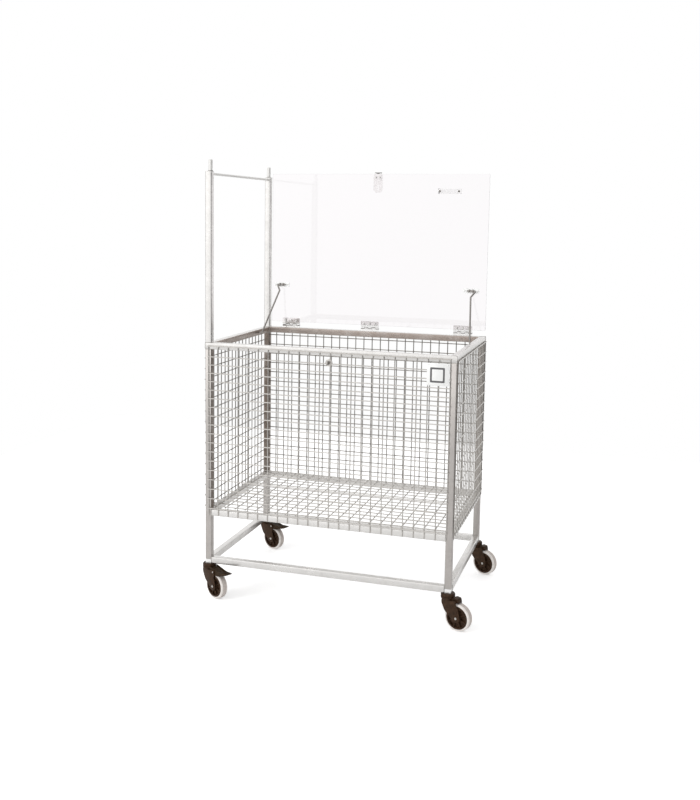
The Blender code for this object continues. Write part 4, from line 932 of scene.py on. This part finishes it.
def dress_fork(corner, place, axle):
    """A black moulded fork: a round head with a dust lip, a crown and two cheeks down to the axle. Where
    there is no brake, a bumper stands over the wheel."""
    braked = corner in BRAKED
    body = bmesh.new()
    turned(body, [(0.0063, 0.1297), (0.0212, 0.1297), (0.0238, 0.1288), (0.0255, 0.1266), (0.0260, 0.1240),
                  (0.0260, 0.1216), (0.0244, 0.1206), (0.0244, 0.1188), (0.0260, 0.1178), (0.0260, 0.1120),
                  (0.0235, 0.1085), (0.0063, 0.1085)], place, 48, ring=True)
    block(body, (-0.0145, -CHEEK_OUT + 0.0002, 0.1038), (0.030, CHEEK_OUT - 0.0002, 0.1093), 0.0012, place)
    ear = 0.054 if braked else 0.043
    outline = [(-0.0145, 0.1090, 0.001), (-0.0145, 0.0966, 0.004), (-0.0010, 0.0690, 0.006),
               (0.0285, 0.0440, 0.004), (0.0300, WHEEL - 0.0120, 0.006), (0.0380, WHEEL - 0.0158, 0.006),
               (0.0540, WHEEL - 0.0150, 0.006), (0.0608, WHEEL - 0.0040, 0.006),
               (0.0592, WHEEL + 0.0070, 0.005), (0.0520, 0.0846, 0.006), (ear, 0.1006, 0.004),
               (ear, 0.1121, 0.004), (0.031, 0.1121, 0.003), (0.024, 0.1090, 0.003)]
    for start in (-CHEEK_IN, CHEEK_OUT):
        plate(body, outline, CHEEK_OUT - CHEEK_IN, place @ sideways(start), edge=0.0008, segments=2)
    for side in (-CHEEK_OUT, CHEEK_OUT):
        turned(body, [(0, -0.001), (0.0125, -0.001), (0.0125, 0.0002), (0.0118, 0.0006), (0.0070, 0.0006),
                      (0.0066, 0.0002), (0, 0.0002)], outward(axle, 0, side, 0), 32)
        if braked:
            turned(body, [(0, -0.001), (0.0045, -0.001), (0.0045, 0.0004), (0.0040, 0.0009), (0, 0.0010)],
                   outward(place, PEDAL_PIN_X, side, PEDAL_PIN_Z), 24)
    if not braked:
        bumper = [(0.024, 0.1030), (0.0510, 0.1030, 0.001), (0.0465, 0.1175, 0.002), (0.0300, 0.1195, 0.003),
                  (0.024, 0.1150, 0.002)]
        plate(body, bumper, 0.0270, place @ sideways(0.0135), edge=0.0012, segments=3)
    piece(f"{corner}_fork_body", body, BLACK, f"caster_{corner}_swivel",
          [f"caster_{corner}_fork"])
    bolt = bmesh.new()
    for out in (-1, 1):
        turned(bolt, [(0, 0), (0.0046, 0), (0.0048, 0.0004), (0.0048, 0.0014), (0.0042, 0.0020), (0, 0.0021)],
               outward(axle, 0, out * (CHEEK_OUT + 0.0002), 0), 6)
        if braked:
            turned(bolt, [(0, 0), (0.0030, 0), (0.0029, 0.0007), (0.0018, 0.0013), (0, 0.0015)],
                   outward(place, PEDAL_PIN_X, out * (CHEEK_OUT + 0.0008), PEDAL_PIN_Z), 20)
    piece(f"{corner}_axle_bolt", bolt, FITTING, f"caster_{corner}_swivel")


def dress_wheel(corner, axle):
    """A pale tyre with a band that rolls, over a black disc with a raised rim, a hub and eight ribs."""
    tyre = bmesh.new()
    turned_even(tyre, [(0.0400, 0.0122), (0.0418, 0.0138), (0.0440, 0.0145), (0.0464, 0.0142),
                       (0.0482, 0.0128), (0.0491, 0.0104), (0.0496, 0.0082), (0.0488, 0.0078)], axle, 72)
    piece(f"{corner}_tyre", tyre, RUBBER, f"caster_{corner}_wheel", [f"caster_{corner}_wheel"])
    band = bmesh.new()
    turned_even(band, [(0.0484, 0.0080), (0.0496, 0.0081), (WHEEL - 0.0001, 0.0066), (WHEEL - 0.0001, 0.0006),
                       (WHEEL, 0.0002)], axle, 72)
    piece(f"{corner}_tread", band, SHADED_TREAD_RUBBER, f"caster_{corner}_wheel")
    disc = bmesh.new()
    turned_even(disc, [(0.0043, 0.0186), (0.0080, 0.0186), (0.0090, 0.0180), (0.0096, 0.0166),
                       (0.0120, 0.0160), (0.0145, 0.0160), (0.0165, 0.0090), (0.0335, 0.0090),
                       (0.0355, 0.0163), (0.0398, 0.0163), (0.0412, 0.0156), (0.0418, 0.0140),
                       (0.0410, 0.0126)], axle, 60)
    for number in range(8):
        spoke = axle @ Matrix.Rotation(pi * number / 4 + 0.3, 4, "Z")
        block(disc, (0.0140, -0.0013, -0.0160), (0.0352, 0.0013, 0.0160), 0.0005, spoke)
    piece(f"{corner}_disc", disc, BLACK, f"caster_{corner}_wheel")


def dress_pedal(corner, place):
    """A brake lever. Two cheeks beside the tyre with a sunk web between them slope down from the fork's
    head to a ribbed toe, and narrow towards it."""
    lever = bmesh.new()
    cheek = [(0.0405, 0.0962, 0.003), (0.0500, 0.0940, 0.003), (0.0710, 0.0945, 0.003),
             (0.0930, 0.1012, 0.004), (0.1050, 0.1045, 0.003), (0.1180, 0.1085, 0.002),
             (0.1190, 0.1118, 0.001), (0.1000, 0.1118, 0.004), (0.0820, 0.1108, 0.006),
             (0.0620, 0.1137, 0.004), (0.0222, 0.1222, 0.001), (0.0222, 0.1135, 0.002),
             (0.0330, 0.1118, 0.003)]
    for start in (-0.0158, 0.0184):
        plate(lever, cheek, 0.0026, sideways(start), edge=0.0006, segments=2)
    web = [(0.0285, 0.1185), (0.0620, 0.1100), (0.0850, 0.1062), (0.0850, 0.1030), (0.0620, 0.1056),
           (0.0285, 0.1145)]
    plate(lever, web, 0.0340, sideways(0.0170))
    toe = [(0.0840, 0.1110, 0.001), (0.1000, 0.1122, 0.004), (0.1200, 0.1138, 0.001),
           (0.1190, 0.1090, 0.001), (0.0840, 0.1040, 0.001)]
    plate(lever, toe, 0.0364, sideways(0.0182), edge=0.0008, segments=2)
    toe_start, toe_height, toe_slope = 0.0840, 0.1110, 0.078
    for number in range(6):
        x = 0.0880 + number * 0.0050
        level = toe_height + (x - toe_start) * toe_slope
        block(lever, (x - 0.0009, -0.0150, level - 0.0016), (x + 0.0009, 0.0150, level + 0.0009), 0.0005)
    taper_start, taper = 0.060, 0.30
    for vert in lever.verts:
        vert.co.y *= 1 - taper * max(0.0, (vert.co.x - taper_start) / taper_start)
    bmesh.ops.transform(lever, matrix=place, verts=lever.verts)
    piece(f"{corner}_pedal_lever", lever, SHADED_LEVER_BLACK, f"caster_{corner}_pedal",
          [f"caster_{corner}_brake_pedal"])


# Camera, light and floor

# The camera as fitted to the photograph: its place from the frame's front left corner on the floor
CAMERA_PLACE = (1.5728, -3.3972, 1.464)
CAMERA_YAW, CAMERA_PITCH, CAMERA_ROLL = radians(17.563), radians(6.436), radians(0.759)
PICTURE_WIDTH, PICTURE_HEIGHT = 700, 800
FOCAL_PIXELS = 996.11
OPTICAL_CENTRE = (331.58, 328.16)

# Where the room's soft light comes from, and where metal shows its glow
SOFT_LIGHT = Vector((-0.5, -0.6, 0.6)).normalized()
GLOW = Vector((-0.58, -0.76, 0.30)).normalized()


def add_camera():
    data = bpy.data.cameras.new("camera")
    camera = new_object("camera", data)
    turn = (Matrix.Rotation(CAMERA_YAW, 4, "Z") @ Matrix.Rotation(pi / 2 - CAMERA_PITCH, 4, "X")
            @ Matrix.Rotation(CAMERA_ROLL, 4, "Z"))
    camera.matrix_world = Matrix.Translation(Vector((LEFT, FRONT, 0)) + Vector(CAMERA_PLACE)) @ turn
    data.sensor_width = 36.0
    data.lens = data.sensor_width * FOCAL_PIXELS / PICTURE_HEIGHT
    data.shift_x = (PICTURE_WIDTH / 2 - OPTICAL_CENTRE[0]) / PICTURE_HEIGHT
    data.shift_y = (OPTICAL_CENTRE[1] - PICTURE_HEIGHT / 2) / PICTURE_HEIGHT
    data.clip_start = 0.05
    bpy.context.scene.camera = camera


def add_lamp(name, place, target, size, power):
    """A soft lamp. It has no mirror image, so the closed lid shows no bright rectangle."""
    data = bpy.data.lights.new(name, "AREA")
    data.shape = "RECTANGLE"
    data.size, data.size_y = size
    data.energy = power
    lamp = new_object(name, data)
    lamp.visible_glossy = False
    lamp.visible_transmission = False
    lamp.location = place
    lamp.rotation_euler = (Vector(target) - Vector(place)).to_track_quat("-Z", "Y").to_euler()


def straight_view(tree, rays):
    """1 for what the camera sees, also through the clear sheet, and 0 for all other light."""
    return calc(tree, "MAXIMUM", rays["Is Camera Ray"], rays["Is Transmission Ray"])


def light_room():
    """A white room with a darker wall at each side, most of all at the right, which gives rolled edges and
    wires their dark lines, and a greyer foot, most of all behind the trolley. Its soft light comes mostly
    from the front left and above, and metal shows a soft glow there."""
    world = bpy.data.worlds.new("studio")
    world.use_nodes = True
    tree = world.node_tree
    tree.nodes.clear()
    rays = add(tree, "LightPath")
    outlook = add(tree, "TexCoord")["Generated"]
    way = add(tree, "SeparateXYZ", {0: outlook})
    facing, towards = [add(tree, "VectorMath", {0: outlook, 1: aim}, operation="DOT_PRODUCT")["Value"]
                       for aim in (SOFT_LIGHT, GLOW)]
    soft = ranged(tree, facing, (-1, 1), (0.42, 1.04))
    aside = calc(tree, "ABSOLUTE", calc(tree, "ADD", way["X"], 0.10))
    dark = ranged(tree, way["X"], (-0.2, 0.2), (0.42, 0.10))
    walls = ranged(tree, aside, (0.40, 0.85), (1, dark), interpolation_type="SMOOTHSTEP")
    behind = ranged(tree, way["Y"], (0.2, 0.8), (0.66, 0.40))
    foot = ranged(tree, way["Z"], (-0.28, -0.14), (behind, 1))
    glow = ranged(tree, towards, (0.83, 0.97), (0, 0.60), interpolation_type="SMOOTHSTEP")
    grey = calc(tree, "MULTIPLY_ADD", walls, foot, glow)
    dim = add(tree, "Mix", {0: rays["Is Glossy Ray"], 2: soft, 3: grey}, data_type="FLOAT")[0]
    level = add(tree, "Mix", {0: straight_view(tree, rays), 2: dim, 3: 1.0}, data_type="FLOAT")[0]
    room = add(tree, "Background", {"Color": (1, 1, 1, 1), "Strength": level})["Background"]
    add(tree, "OutputWorld", {"Surface": room})
    bpy.context.scene.world = world
    add_lamp("key", (-2.9, -3.0, 2.3), (0, 0, 0.8), (1.6, 1.2), 56)
    add_lamp("back", (0.8, 3.0, 2.6), (0, 0.2, 1.0), (2.0, 1.4), 14)


def lay_floor():
    """A pale matt floor that the camera sees as white, with the trolley's soft shadow on it."""
    shape = bmesh.new()
    bmesh.ops.create_grid(shape, x_segments=1, y_segments=1, size=2.6)
    floor = new_object("floor", mesh_of("floor", shape))
    made, tree, shader = start_finish("pale matt floor", Roughness=0.9, Specular_IOR_Level=0.0,
                                      Emission_Color=(1, 1, 1, 1))
    rays = add(tree, "LightPath")
    mirrored_lift = calc(tree, "MULTIPLY", rays["Is Glossy Ray"], 0.10)
    seen_lift = calc(tree, "MULTIPLY", straight_view(tree, rays), 0.40)
    connect(tree, shader, Emission_Strength=calc(tree, "ADD", mirrored_lift, seen_lift),
            Base_Color=blend(tree, rays["Is Glossy Ray"], linear("#efefef"), linear("#e6e6e6")))
    floor.data.materials.append(made)


bpy.context.scene.view_settings.view_transform = "Standard"
add_camera()
dress_frame()
dress_basket()
dress_plate()
dress_lock()
dress_lid()
for corner in CASTERS:
    dress_caster(corner)
light_room()
lay_floor()
bpy.context.view_layer.update()
